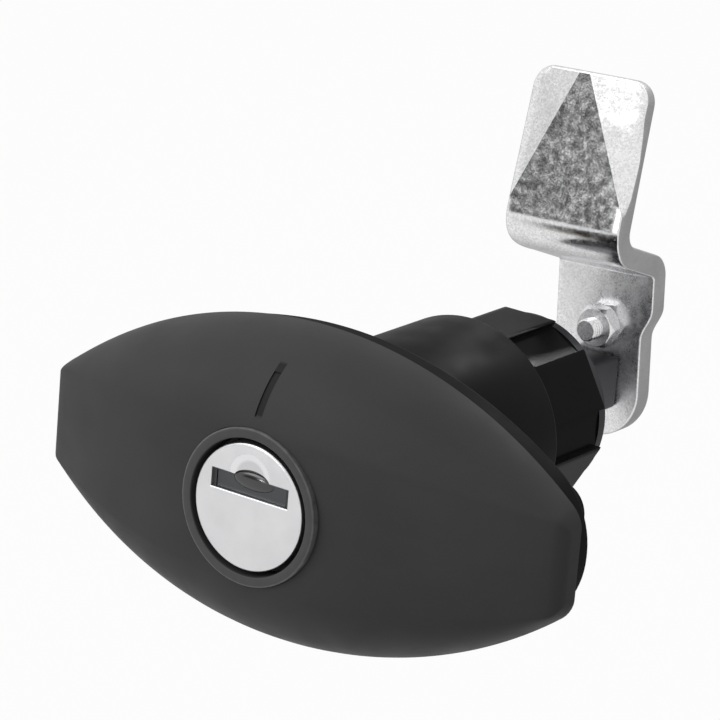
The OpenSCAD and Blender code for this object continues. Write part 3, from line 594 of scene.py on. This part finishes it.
class LOCK_OT_make_handle(bpy.types.Operator):
    """Model the hollow charcoal handle with its round seat and its pointer groove"""
    bl_idname = "lock.make_handle"
    bl_label = "Handle"

    def execute(self, context):
        s = context.scene.lock_sizes
        form = HandleForm(s)
        row = [(x, 0) for x in spaced(form.half - s.edge_round, 32)]
        curl = [(1 - math.sin(a), 1 - math.cos(a)) for a in map(math.radians, range(18, 91, 18))]
        ends = [(form.half - s.edge_round * short, s.edge_round * drop) for short, drop in curl]
        stations = [(-x, inset) for x, inset in reversed(ends)] + row + ends
        handle = form.solid("handle", stations, s.handle_rim)
        inside = [(x, s.handle_wall) for x in spaced(form.half - s.handle_wall, 20)]
        hollow = form.solid("hollow", inside, s.handle_rim + MM)
        seat_r = s.ring_r + 0.06 * MM
        seat = raw("seat", pipe(0, seat_r, FRONT - MM, s.handle_rim, 128))
        combine(handle, [hollow, seat, self.pointer(form)])
        dress(handle, "handle", "handle_shell", "handle_plastic", round_edges=0.22 * MM, sharp=48)
        return {"FINISHED"}

    def pointer(self, form):
        """The groove's cutter: the shoulder's own line at the middle, drawn out across X."""
        s = form.s
        side, slant = -s.pointer_w / 2, 0.05 * MM
        line = [p for p in form.section(0, 0, s.handle_rim) if s.pointer_low < p.y < s.pointer_high]
        bm = bmesh.new()
        near = [bm.verts.new((side, p.x + s.pointer_deep, p.y - slant)) for p in line]
        far = [bm.verts.new((side, p.x - MM, p.y)) for p in reversed(line)]
        bmesh.ops.contextual_create(bm, geom=near + far)
        drawn = bmesh.ops.extrude_face_region(bm, geom=bm.faces[:])["geom"]
        bmesh.ops.translate(bm, vec=(s.pointer_w, 0, 0), verts=verts_of(drawn))
        return raw("pointer", bm)


class LOCK_OT_make_cylinder(bpy.types.Operator):
    """Model the key cylinder: ring and shell, bright cap with slot and dish, and the dust shutter"""
    bl_idname = "lock.make_cylinder"
    bl_label = "Key cylinder"
    nose_x = 0.3 * MM

    def execute(self, context):
        s = context.scene.lock_sizes
        self.ring(s)
        self.cap(s)
        self.shutter(s)
        return {"FINISHED"}

    def ring(self, s):
        """The dark ring, one piece with the shell round the plug."""
        plug_r, shell_r, rear = 7.34 * MM, 9.4 * MM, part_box("cylinder_shell")[1][1]
        face, floor, step = FRONT + 0.3 * MM, FRONT + 3.4 * MM, FRONT + 3.5 * MM
        bm = spun([(plug_r, rear), (shell_r, rear), (shell_r, step), (s.ring_r, step), (s.ring_r, face),
                   (s.ring_bore, face), (s.ring_bore, floor), (plug_r, floor)], 128)
        ring = raw("key_ring", soften(bm, 0.18 * MM))
        combine(ring, [raw("groove", self.groove(turn)) for turn in (0, TURN / 4)])
        dress(ring, "handle", "cylinder_shell", "dark_ring")

    def groove(self, turn):
        """The groove that the wafers slide out into, at one turn of the plug."""
        wide, long, tall = 8.3 * MM, 11.4 * MM, 6.6 * MM
        middle_y, middle_z = -6.5 * MM, 2 * MM
        return turned(block((wide, long, tall), (wide / 2, middle_y, middle_z)), turn)

    def cap(self, s):
        """The bright cap with its slot, its dish and the notch above the shutter's nose."""
        low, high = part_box("plug_cap")
        face, rear, wall_r = low[1], high[1], 7.33 * MM
        floor = face + 0.5 * MM
        bm = spun([(0, face), (s.cap_r, face), (s.cap_r, rear), (wall_r, rear), (wall_r, floor),
                   (0, floor)], 128)
        cap = raw("plug_cap_face", soften(bm, 0.42 * MM, segments=4, least=60))
        slot = block((s.slot_w, 4 * MM, s.slot_h), (0, face, s.slot_z))
        shelf = s.slot_z + s.slot_h / 2
        cutters = (self.dish(s, face, shelf), slot, self.flare(s, face), self.notch(face, shelf))
        combine(cap, [raw("cutter", cutter) for cutter in cutters])
        for part in cap.data.polygons:
            dished = part.center.y > face + 0.01 * MM and part.center.z > shelf and part.normal.y < -0.8
            inside = math.hypot(part.center.x, part.center.z) < s.cap_r - MM
            part.material_index = int(dished and inside)
        dress(cap, "plug", "plug_cap", "cap_metal", round_edges=0.14 * MM, sharp=30,
              finishes=("cap_metal", "dish_metal"))

    def dish(self, s, face, shelf):
        """The dish's cutter: a large ball that dips into the face, cut off inside the slot."""
        deep = 0.4 * MM
        ball_r = arc_radius(s.dish_r, deep)
        ball = bmesh.new()
        bmesh.ops.create_icosphere(ball, subdivisions=6, radius=ball_r)
        bmesh.ops.translate(ball, vec=(0, face + deep - ball_r, shelf), verts=ball.verts)
        rim = sliced(ball, (0, 0, s.slot_z), (0, 0, -1), clear=True)
        bmesh.ops.holes_fill(ball, edges=rim, sides=0)
        return ball

    def flare(self, s, face):
        """The cutter of the slot's chamfer: a thin block that is wider in front."""
        thick, wider = 0.2 * MM, 0.4 * MM
        bm = block((s.slot_w, thick, s.slot_h), (0, face, s.slot_z))
        bmesh.ops.scale(bm, vec=(1 + wider / s.slot_w, 1, 1 + wider / s.slot_h),
                        space=Matrix.Translation((0, 0, -s.slot_z)),
                        verts=[v for v in bm.verts if v.co.y < face])
        return bm

    def notch(self, face, shelf):
        """The cutter of the flat arch above the shutter's nose."""
        half, sunk, squash = 2.7 * MM, 0.2 * MM, 0.42
        bm = prism(arc(self.nose_x, shelf - sunk, half, 0, 180, 24), face - MM, face + MM)
        bmesh.ops.scale(bm, vec=(1, 1, squash), space=Matrix.Translation((0, 0, sunk - shelf)),
                        verts=bm.verts)
        return bm

    def shutter(self, s):
        """A flap with a rolled top edge and a rounded nose that shows in the slot."""
        sheet, roll_r, nose_up = 0.5 * MM, 0.6 * MM, 0.75 * MM
        nose_size = (3 * MM, 0.52 * MM, 1.15 * MM)
        low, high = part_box("dust_shutter")
        front, top, foot = high[1] - 2 * roll_r, high[2] - roll_r, low[2]
        wide = high[0] - low[0]
        flap = block((wide, sheet, top - foot), (0, front + sheet / 2, (top + foot) / 2))
        soften(flap, 0.12 * MM)
        roll = bmesh.ops.create_cone(flap, cap_ends=True, segments=24, radius1=roll_r, radius2=roll_r,
                                     depth=wide)["verts"]
        bmesh.ops.rotate(flap, cent=(0, 0, 0), matrix=Matrix.Rotation(TURN / 4, 3, "Y"), verts=roll)
        bmesh.ops.translate(flap, vec=(0, front + roll_r, top), verts=roll)
        nose = bmesh.ops.create_uvsphere(flap, u_segments=32, v_segments=20, radius=1)["verts"]
        bmesh.ops.scale(flap, vec=nose_size, verts=nose)
        bmesh.ops.translate(flap, vec=(self.nose_x, front, s.slot_z + nose_up), verts=nose)
        for face in flap.faces:
            face.material_index = int(all(vert in nose for vert in face.verts))
        dress(raw("shutter_flap", flap), "shutter", "dust_shutter", "dark_shutter",
              finishes=("dark_shutter", "nose_steel"))


def lens(sizes, inset):
    """Outline of the base: two arcs with rounded ends; no two arcs share a point."""
    near_top, apart = 89.6, 0.5
    form = HandleForm(sizes)
    r, corner = form.outline_r - inset, sizes.base_round
    centre = form.outline_r - form.high
    end_x = sizes.base_len / 2 + sizes.base_inset - inset - corner
    end_z = math.sqrt((r - corner) ** 2 - end_x ** 2) - centre
    tangent = math.degrees(math.atan2(end_z + centre, end_x))
    quarter = (arc(0, -centre, r, near_top, tangent + apart, 40)
               + arc(end_x, end_z, corner, tangent, apart, 12))
    half = quarter + [(x, -z) for x, z in reversed(quarter)]
    return half + [(-x, z) for x, z in reversed(half)]


class LOCK_OT_make_housing(bpy.types.Operator):
    """Model the housing: base plate, fluted tube and the two pillars for the brass inserts"""
    bl_idname = "lock.make_housing"
    bl_label = "Housing"
    root, bore_from = -1.2 * MM, -9 * MM

    def execute(self, context):
        s = context.scene.lock_sizes
        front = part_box("housing")[0][1]
        plate = raw("housing_base", soften(prism(lens(s, s.base_inset), front, -s.gasket_t), 0.45 * MM))
        tube = raw("housing_tube", self.tube(s))
        flutes = [raw("flute", self.flute(i)) for i in range(6)]
        through = raw("bore", pipe(0, s.tube_bore, self.bore_from, s.tube_len + 10 * MM))
        combine(tube, flutes + [through])
        combine(tube, [raw("window", self.window(turn)) for turn in (0, TURN / 4)])
        combine(plate, [raw("bore", pipe(0, s.tube_bore, self.bore_from, MM))])
        dress(plate, "housing", "housing", "housing_plastic", sharp=15, finishes=("base_plastic",))
        dress(raw("housing_pillars", self.pillars(s)), "housing", "housing", "housing_plastic",
              finishes=("base_plastic",))
        dress(tube, "housing", "housing", "housing_plastic", round_edges=0.4 * MM, sharp=24)
        return {"FINISHED"}

    def window(self, turn):
        """The cutter of one window for the lock bolt."""
        wide, long, tall = 6.4 * MM, 4.4 * MM, 6 * MM
        return turned(block((wide, long, tall), (0, 7.3 * MM, 12 * MM)), turn)

    def pillars(self, s):
        """Two fixing pillars, bored for their brass inserts."""
        r, bore, floor = s.pillar_r, s.insert_r, 2 * MM
        bm = spun([(0, self.root), (r, self.root), (r, s.pillar_len), (bore, s.pillar_len),
                   (bore, floor), (0, floor)], 48)
        soften(bm, 0.25 * MM, least=60)
        bmesh.ops.translate(bm, vec=(s.pillar_x, 0, 0), verts=bm.verts)
        twin = bmesh.ops.duplicate(bm, geom=everything(bm))["geom"]
        bmesh.ops.translate(bm, vec=(-2 * s.pillar_x, 0, 0), verts=verts_of(twin))
        return bm

    def tube(self, s):
        """A tube of six flats whose corners follow a circle."""
        count, sixth = 180, TURN / 6
        outline = []
        for i in range(count):
            a = TURN * (i + 0.5) / count
            off = (a - sixth / 2) % sixth
            off = min(off, sixth - off)
            r = min(s.tube_d / 2, s.tube_flats / 2 / math.cos(off))
            outline.append((r * math.cos(a), r * math.sin(a)))
        return prism(outline, self.root, s.tube_len)

    def flute(self, i):
        """One flute's cutter, its two front corners rounded."""
        start, long, floor, deep, wide = 28.4 * MM, 20 * MM, 11.75 * MM, 4 * MM, 5.2 * MM
        bm = block((deep, long, wide), (floor + deep / 2, start + long / 2, 0))
        corners = [e for e in bm.edges if all(v.co.y < start + MM for v in e.verts)
                   and abs(e.verts[0].co.x - e.verts[1].co.x) > MM]
        bmesh.ops.bevel(bm, geom=corners, offset=1.3 * MM, segments=6, profile=0.5, affect="EDGES",
                        material=-1)
        return turned(bm, TURN * i / 6)


class LOCK_OT_make_sleeve(bpy.types.Operator):
    """Model the plain door sleeve and the rubber gasket behind the base"""
    bl_idname = "lock.make_sleeve"
    bl_label = "Sleeve and gasket"
    gap = 0.05 * MM

    def execute(self, context):
        s = context.scene.lock_sizes
        sleeve = pipe(s.tube_d / 2 + self.gap, s.sleeve_r, -s.gasket_t, s.sleeve_len, 128)
        soften(sleeve, 0.5 * MM, segments=4)
        dress(raw("sleeve", sleeve), "housing", "door_sleeve", "sleeve_plastic")
        dress(raw("gasket", self.gasket(s)), "housing", "base_gasket", "rubber", round_edges=0.15 * MM)
        return {"FINISHED"}

    def gasket(self, s):
        """A flat sheet with three round holes: two faces filled between the loops, then joined by walls."""
        inset = s.base_inset + MM
        holes = [(0, s.sleeve_r), (s.pillar_x, s.pillar_r), (-s.pillar_x, s.pillar_r)]
        loops = [lens(s, inset)] + [arc(x, 0, r + self.gap, 0, 355, 71) for x, r in holes]
        bm = bmesh.new()
        levels = []
        for y in (-s.gasket_t, 0):
            rings = [[bm.verts.new((x, y, z)) for x, z in loop] for loop in loops]
            edges = [bm.edges.new(pair) for ring in rings for pair in zip(ring, ring[1:] + ring[:1])]
            bmesh.ops.triangle_fill(bm, use_beauty=True, edges=edges)
            levels.append(rings)
        for under, over in zip(*levels):
            for wall in zip(under, under[1:] + under[:1], over[1:] + over[:1], over):
                bm.faces.new(wall)
        return bm


class CamSheet:
    """The cam's bent sheet: where a point of the flat blank lies on the bent cam."""
    low_inner, high_inner = 0.6 * MM, 2 * MM
    fall_left, fall_right = 0.12, 0.14
    scoop = ((0, 0), (1, 0.5), (4, 1.4), (8.8, 1.8), (12.6, 1.3), (16, 0.4), (30, 0))

    def __init__(self, s):
        self.s = s
        self.low_r, self.high_r = self.low_inner + s.cam_t / 2, self.high_inner + s.cam_t / 2
        self.low = Vector((s.cam_y - self.low_inner, s.plate_high))
        self.on = Vector((-math.sin(s.cam_turn), math.cos(s.cam_turn)))
        across = self.low_inner + s.cam_t + self.high_inner
        self.high = self.low + s.shelf_len * self.on + across * aim(s.cam_turn)
        self.bend_1 = s.plate_high
        self.shelf = self.bend_1 + self.low_r * s.cam_turn
        self.bend_2 = self.shelf + s.shelf_len
        self.tongue = self.bend_2 + self.high_r * (s.cam_turn + s.tongue_lean)
        self.tip = self.tongue + s.tongue_len

    def stations(self):
        """Places along the blank where it has to bend."""
        first = [self.bend_1 + (self.shelf - self.bend_1) * i / 10 for i in range(11)]
        second = [self.bend_2 + (self.tongue - self.bend_2) * i / 16 for i in range(17)]
        return first + second

    def place(self, along, deep):
        """The (y, z) of a point that far along the sheet and that deep behind its middle."""
        s = self.s
        if along < self.bend_1:
            return Vector((s.cam_y + s.cam_t / 2 + deep, along))
        if along < self.bend_2:
            a = min((along - self.bend_1) / self.low_r, s.cam_turn)
            return self.low + (self.low_r + deep) * aim(a) + max(along - self.shelf, 0) * self.on
        a = math.pi + s.cam_turn - min(along - self.bend_2, self.tongue - self.bend_2) / self.high_r
        leaning = Vector((math.sin(s.tongue_lean), math.cos(s.tongue_lean)))
        return self.high + (self.high_r - deep) * aim(a) + max(along - self.tongue, 0) * leaning

    def ridges(self):
        """The two pressed lines (x, along) that run from the tip's middle down to both corners."""
        tip, foot = self.tip - 0.6 * MM, self.tongue + 1.3 * MM
        return (((-0.4 * MM, tip), (8.4 * MM, foot)), ((-2.2 * MM, tip), (-9.2 * MM, foot)))

    def beside(self, ridge, x, along):
        """Distance of a point from a ridge, with a sign for its side."""
        (x_1, w_1), (x_2, w_2) = ridge
        return ((x_2 - x_1) * (w_1 - along) - (x_1 - x) * (w_2 - w_1)) / math.hypot(x_2 - x_1, w_2 - w_1)

    def pressed(self, x, along):
        """How deep the front is pressed in there: a scoop on the right and a slight fall on the left."""
        up = (along - self.tongue) / MM
        if up <= 0:
            return 0
        right, left = (self.beside(ridge, x, along) for ridge in self.ridges())
        if left > 0:
            return self.fall_left * left
        if right >= 0:
            return 0
        for (a, deep_a), (b, deep_b) in zip(self.scoop, self.scoop[1:]):
            if a <= up <= b:
                deep = deep_a + (deep_b - deep_a) * (up - a) / (b - a)
        (x_1, w_1), (x_2, w_2) = self.ridges()[0]
        line, edge = x_1 + (x_2 - x_1) * (along - w_1) / (w_2 - w_1), self.s.tongue_right
        share = min(1, (x - line) / (edge - line)) if line < edge else 0
        return max(-self.fall_right * right, share * deep * MM)

    def blank(self):
        """Outline (x, along) of the flat blank, from the round end up the right side and back."""
        s, r = self.s, self.s.tongue_round
        round_at, step_from, step_long, swell_long = -1.4 * MM, 6 * MM, 4.5 * MM, 3.1 * MM
        right, left = s.tongue_right - s.cam_half, s.tongue_left - s.cam_half
        step = [(s.cam_half + right * (1 - math.cos(math.pi * i / 10)) / 2, step_from + step_long * i / 10)
                for i in range(11)]
        bow = [TURN / 4 * i / 8 for i in range(8, -1, -1)]
        swell = [(-s.cam_half - left * math.sin(a), self.bend_2 + swell_long * (1 - math.cos(a)))
                 for a in bow]
        return (arc(0, round_at, s.cam_half, 180, 360, 36) + step
                + arc(s.tongue_right - r, self.tip - r, r, 0, 90, 12)
                + arc(r - s.tongue_left, self.tip - r, r, 90, 180, 12) + swell)


class LOCK_OT_make_cam(bpy.types.Operator):
    """Model the bent zinc plated cam and the square spindle that carries it"""
    bl_idname = "lock.make_cam"
    bl_label = "Cam and spindle"

    def execute(self, context):
        s = context.scene.lock_sizes
        self.tongue(s)
        self.spindle(s)
        return {"FINISHED"}

    def tongue(self, s):
        """The cam: a flat blank, sliced where it has to bend or be pressed, then pressed and bent."""
        sheet = CamSheet(s)
        bm = prism(sheet.blank(), -s.cam_t / 2, s.cam_t / 2)
        for face in bm.faces:
            face.material_index = int(abs(face.normal.y) < 0.5)
        soften(bm, 0.3 * MM, least=50)
        for along in sheet.stations() + [sheet.tongue + i * MM for i in range(1, 20)]:
            sliced(bm, (0, 0, along), (0, 0, 1))
        for i in range(-8, 9):
            sliced(bm, (i * MM, 0, 0), (1, 0, 0))
        for (x_1, w_1), (x_2, w_2) in sheet.ridges():
            for edge in sliced(bm, (x_1, 0, w_1), (w_1 - w_2, 0, x_2 - x_1)):
                if all(vert.co.z > sheet.tongue for vert in edge.verts):
                    edge.seam = True
        for vert in bm.verts:
            if vert.co.y < -s.cam_t / 4:
                vert.co.y += sheet.pressed(vert.co.x, vert.co.z)
        for vert in bm.verts:
            y, z = sheet.place(vert.co.z, vert.co.y)
            vert.co = (vert.co.x, y, z)
        dress(raw("cam_tongue", turned(bm, -s.cam_set)), "handle", "cam", "zinc_plate",
              finishes=("zinc_plate", "cut_edge"))

    def spindle(self, s):
        """The square bar with the round nose that the cam sits on."""
        low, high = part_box("spindle")
        start, nose_r = low[1], 3.2 * MM
        bar = block((s.spindle_w, s.cam_y - start, s.spindle_w), (0, (s.cam_y + start) / 2, 0))
        soften(bar, 0.4 * MM)
        nose = prism(arc(0, 0, nose_r, 0, 350, 35), s.cam_y - MM, high[1])
        joined = raw("nose", turned(nose, -s.cam_set))
        bar.from_mesh(joined.data)
        bpy.data.objects.remove(joined)
        dress(raw("square_spindle", bar), "handle", "spindle", "black_steel")


class LOCK_OT_make_fasteners(bpy.types.Operator):
    """Model the stop bolt with its nut, and the screw and washer that hold the cam"""
    bl_idname = "lock.make_fasteners"
    bl_label = "Cam fasteners"
    dome = ((1, 0), (1, 0.35), (0.93, 0.62), (0.75, 0.86), (0.45, 1), (0, 1))
    thread = ((0.15, 0), (0.5, 1), (0.85, 0))

    def execute(self, context):
        s = context.scene.lock_sizes
        r, rear, centre = s.bolt_r, s.cam_y + s.cam_t, (s.stop_x, 0, s.stop_z)
        nut_h, past_nut = 1.6 * r, 2 * MM
        self.bolt("stop_bolt", s, centre, rear, (1.6 * r, 1.1 * r), s.cam_t + nut_h + past_nut, r)
        washer_r, washer_t, screw_r = 3.6 * MM, 0.8 * MM, r - 0.4 * MM
        self.bolt("cam_screw", s, (0, 0, 0), rear + washer_t, (3.3 * MM, 2.4 * MM), 10 * MM, screw_r)
        washer = soften(pipe(r - 0.1 * MM, washer_r, rear, rear + washer_t, 64), 0.12 * MM)
        dress(raw("cam_washer_disc", washer), "handle", "cam_washer", "zinc_plate")
        self.nut(s, centre, nut_h)
        return {"FINISHED"}

    def bolt(self, node, s, centre, seat, head, shank, r):
        """A domed head, given as radius and height, with a cross recess on a threaded shank."""
        head_r, head_h = head
        pitch, deep, end, top = 0.5 * MM, 0.2 * MM, seat - shank, seat + head_h
        profile = [(0, end), (r - deep, end), (r, end + deep)]
        for i in range(int((shank - MM) / pitch)):
            at = end + deep + i * pitch
            profile += [(r - deep * dip, at + run * pitch) for run, dip in self.thread]
        profile += [(r, seat)] + [(head_r * wide, seat + head_h * up) for wide, up in self.dome]
        body = spun(profile, 64)
        bmesh.ops.translate(body, vec=centre, verts=body.verts)
        if node == "stop_bolt":
            turned(body, -s.cam_set)
        made = raw(node + "_body", body)
        middle = Matrix.Rotation(-s.cam_set, 3, "Y") @ Vector(centre)
        arm, width, depth = head_r * 1.1, head_r * 0.26, 2 * MM
        combine(made, [raw("arm", block(size, (middle.x, top, middle.z)))
                       for size in ((arm, depth, width), (width, depth, arm))])
        dress(made, "handle", node, "zinc_plate", sharp=35)

    def nut(self, s, centre, tall):
        """A six sided nut whose corners are turned off at both ends."""
        flats, slope = 3.5 * s.bolt_r, 0.62 * MM
        front, rear = s.cam_y - tall, s.cam_y
        corner, end_r = flats / math.sqrt(3), flats / 2 * 0.97
        full_r = corner * 1.01
        body = prism(arc(0, 0, corner, 0, 300, 5), front, rear)
        lathe = spun([(s.bolt_r, front), (end_r, front), (full_r, front + slope), (full_r, rear - slope),
                      (end_r, rear), (s.bolt_r, rear)], 64)
        for bm in (body, lathe):
            bmesh.ops.translate(bm, vec=centre, verts=bm.verts)
            turned(bm, -s.cam_set)
        made = raw("stop_nut_body", body)
        combine(made, [raw("barrel", lathe)], "INTERSECT")
        dress(made, "handle", "stop_nut", "zinc_plate", round_edges=0.08 * MM, sharp=20)


class LOCK_OT_finish_inner_parts(bpy.types.Operator):
    """Give every carried over CAD part the finish of its own slot, except the plug core, whose casting has
    painted shade at its front
    """
    bl_idname = "lock.finish_inner_parts"
    bl_label = "Inner parts"

    def execute(self, context):
        for part in frame["record"]["subparts"]:
            # The plug core takes a casting with painted shade at its front.
            finish = "greased_casting" if part["node"] == "plug_core" else part["material_slot"]
            for place in frame["nodes"][part["node"]].material_slots:
                place.material = FINISHES[finish]
        return {"FINISHED"}


class LOCK_OT_make_stage(bpy.types.Operator):
    """Make the pale floor, the soft studio light and the camera at the photograph's angle"""
    bl_idname = "lock.make_stage"
    bl_label = "Stage"

    def execute(self, context):
        scene = context.scene
        scene.view_settings.view_transform = "Standard"
        self.floor()
        self.world(scene)
        self.lamp("key", (-0.45, -0.55, 0.6), 0.5, 2.2)
        self.lamp("top", (0.1, 0.25, 0.7), 0.5, 0.5)
        self.lamp("back", (0.0, 0.63, 0.5), 0.08, 0.9)
        self.lamp("glint", (-0.23, -0.63, 0.15), 0.06, 0.4)
        optics = bpy.data.cameras.new("camera")
        optics.lens = 225
        optics.sensor_width = 36
        optics.clip_end = 50
        camera = bpy.data.objects.new("camera", optics)
        camera.location = (0.29699, -0.43043, 0.18221)
        camera.rotation_euler = [math.radians(turn) for turn in (72.1894, -4.5410, 35.9041)]
        scene.collection.objects.link(camera)
        scene.camera = camera
        return {"FINISHED"}

    def rays(self, start):
        """Three wires that are 1 for rays from the camera, for mirrored ones and for clear ones."""
        path = start.node("ShaderNodeLightPath", {}, {})
        kinds = ("Is Camera Ray", "Is Glossy Ray", "Is Transmission Ray")
        return [Wire(path.tree, path.socket.node.outputs[kind]) for kind in kinds]

    def seen(self, start):
        """1 for rays from the camera and for mirrored or clear ones, else 0."""
        camera, glossy, clear = self.rays(start)
        return camera.maths("MAXIMUM", camera, camera.maths("MAXIMUM", glossy, clear))

    def floor(self):
        """A matt floor that shows as white, and darker where the lock mirrors it from behind."""
        reach, below = 3, 0.06
        bm = bmesh.new()
        bmesh.ops.create_grid(bm, x_segments=4, y_segments=4, size=reach)
        bmesh.ops.translate(bm, vec=(0, 0, -below), verts=bm.verts)
        floor = raw("floor", bm)
        made, place = new_finish("pale_floor")
        matt = place.node("ShaderNodeBsdfDiffuse", {}, {"Color": (0.5, 0.5, 0.5, 1)})
        glow = place.node("ShaderNodeEmission", {}, {"Color": (1, 1, 1, 1), "Strength": 1.0})
        mirrored = self.rays(place)[1] * place.along("Y").between(0.0, 0.1)
        shown = self.seen(place) * (0.96 - 0.75 * mirrored)
        both = place.node("ShaderNodeMixShader", {}, {0: shown, 1: matt, 2: glow})
        place.node("ShaderNodeOutputMaterial", {}, {"Surface": both})
        floor.data.materials.append(made)

    def world(self, scene):
        """White where it is seen; mirrors meet a dark patch of the room and a duller rear."""
        world = bpy.data.worlds.new("studio")
        world.use_nodes = True
        world.node_tree.nodes.clear()
        start = Wire(world.node_tree)
        way = start.node("ShaderNodeTexCoord", {}, {}, "Generated")
        to_patch = Vector((-0.561, -0.818, 0.124)).normalized()
        room = way.node("ShaderNodeVectorMath", {"operation": "DOT_PRODUCT"},
                        {0: way, 1: to_patch}, "Value")
        glossy = self.rays(start)[1]
        behind = way.along("Y").between(0.2, 0.8)
        mirrored = (1 - glossy * room.between(0.974, 0.988) * 0.92) * (1 - glossy * behind * 0.35)
        seen = self.seen(start)
        strength = seen * mirrored + (1 - seen) * (0.5 - 0.3 * way.along("X"))
        soft = start.node("ShaderNodeBackground", {}, {"Color": (1, 1, 1, 1), "Strength": strength})
        start.node("ShaderNodeOutputWorld", {}, {"Surface": soft})
        scene.world = world

    def lamp(self, name, place, size, power):
        """A square lamp that looks at the lock."""
        light = bpy.data.lights.new(name, "AREA")
        light.size = size
        light.energy = power
        lamp = bpy.data.objects.new(name, light)
        lamp.location = place
        lamp.rotation_euler = (-Vector(place)).to_track_quat("-Z", "Y").to_euler()
        bpy.context.scene.collection.objects.link(lamp)


STEPS = (LOCK_OT_make_stage, LOCK_OT_make_handle, LOCK_OT_make_cylinder, LOCK_OT_make_housing,
         LOCK_OT_make_sleeve, LOCK_OT_make_cam, LOCK_OT_make_fasteners, LOCK_OT_finish_inner_parts)


class LOCK_PT_door_lock(bpy.types.Panel):
    """The lock's steps and sizes in the sidebar"""
    bl_idname = "LOCK_PT_door_lock"
    bl_label = "Door lock"
    bl_space_type = "VIEW_3D"
    bl_region_type = "UI"
    bl_category = "Door lock"

    def draw(self, context):
        for step in STEPS:
            self.layout.operator(step.bl_idname)
        for group in (context.scene.lock_sizes, context.scene.lock_tones):
            for name in group.bl_rna.properties.keys():
                if name not in ("rna_type", "name"):
                    self.layout.prop(group, name)


CLASSES = (LockSizes, LockTones, *STEPS, LOCK_PT_door_lock)


def register():
    """Register the classes and give every scene the lock's sizes and tones."""
    for made in CLASSES:
        bpy.utils.register_class(made)
    bpy.types.Scene.lock_sizes = bpy.props.PointerProperty(type=LockSizes)
    bpy.types.Scene.lock_tones = bpy.props.PointerProperty(type=LockTones)


def unregister():
    """Take away what register added."""
    del bpy.types.Scene.lock_tones
    del bpy.types.Scene.lock_sizes
    for made in reversed(CLASSES):
        bpy.utils.unregister_class(made)


def main():
    """Register the add-on, make the finishes and run the steps in order."""
    register()
    make_finishes(bpy.context.scene.lock_tones, bpy.context.scene.lock_sizes)
    bpy.ops.lock.make_stage()
    bpy.ops.lock.make_handle()
    bpy.ops.lock.make_cylinder()
    bpy.ops.lock.make_housing()
    bpy.ops.lock.make_sleeve()
    bpy.ops.lock.make_cam()
    bpy.ops.lock.make_fasteners()
    bpy.ops.lock.finish_inner_parts()


if __name__ == "__main__":
    main()
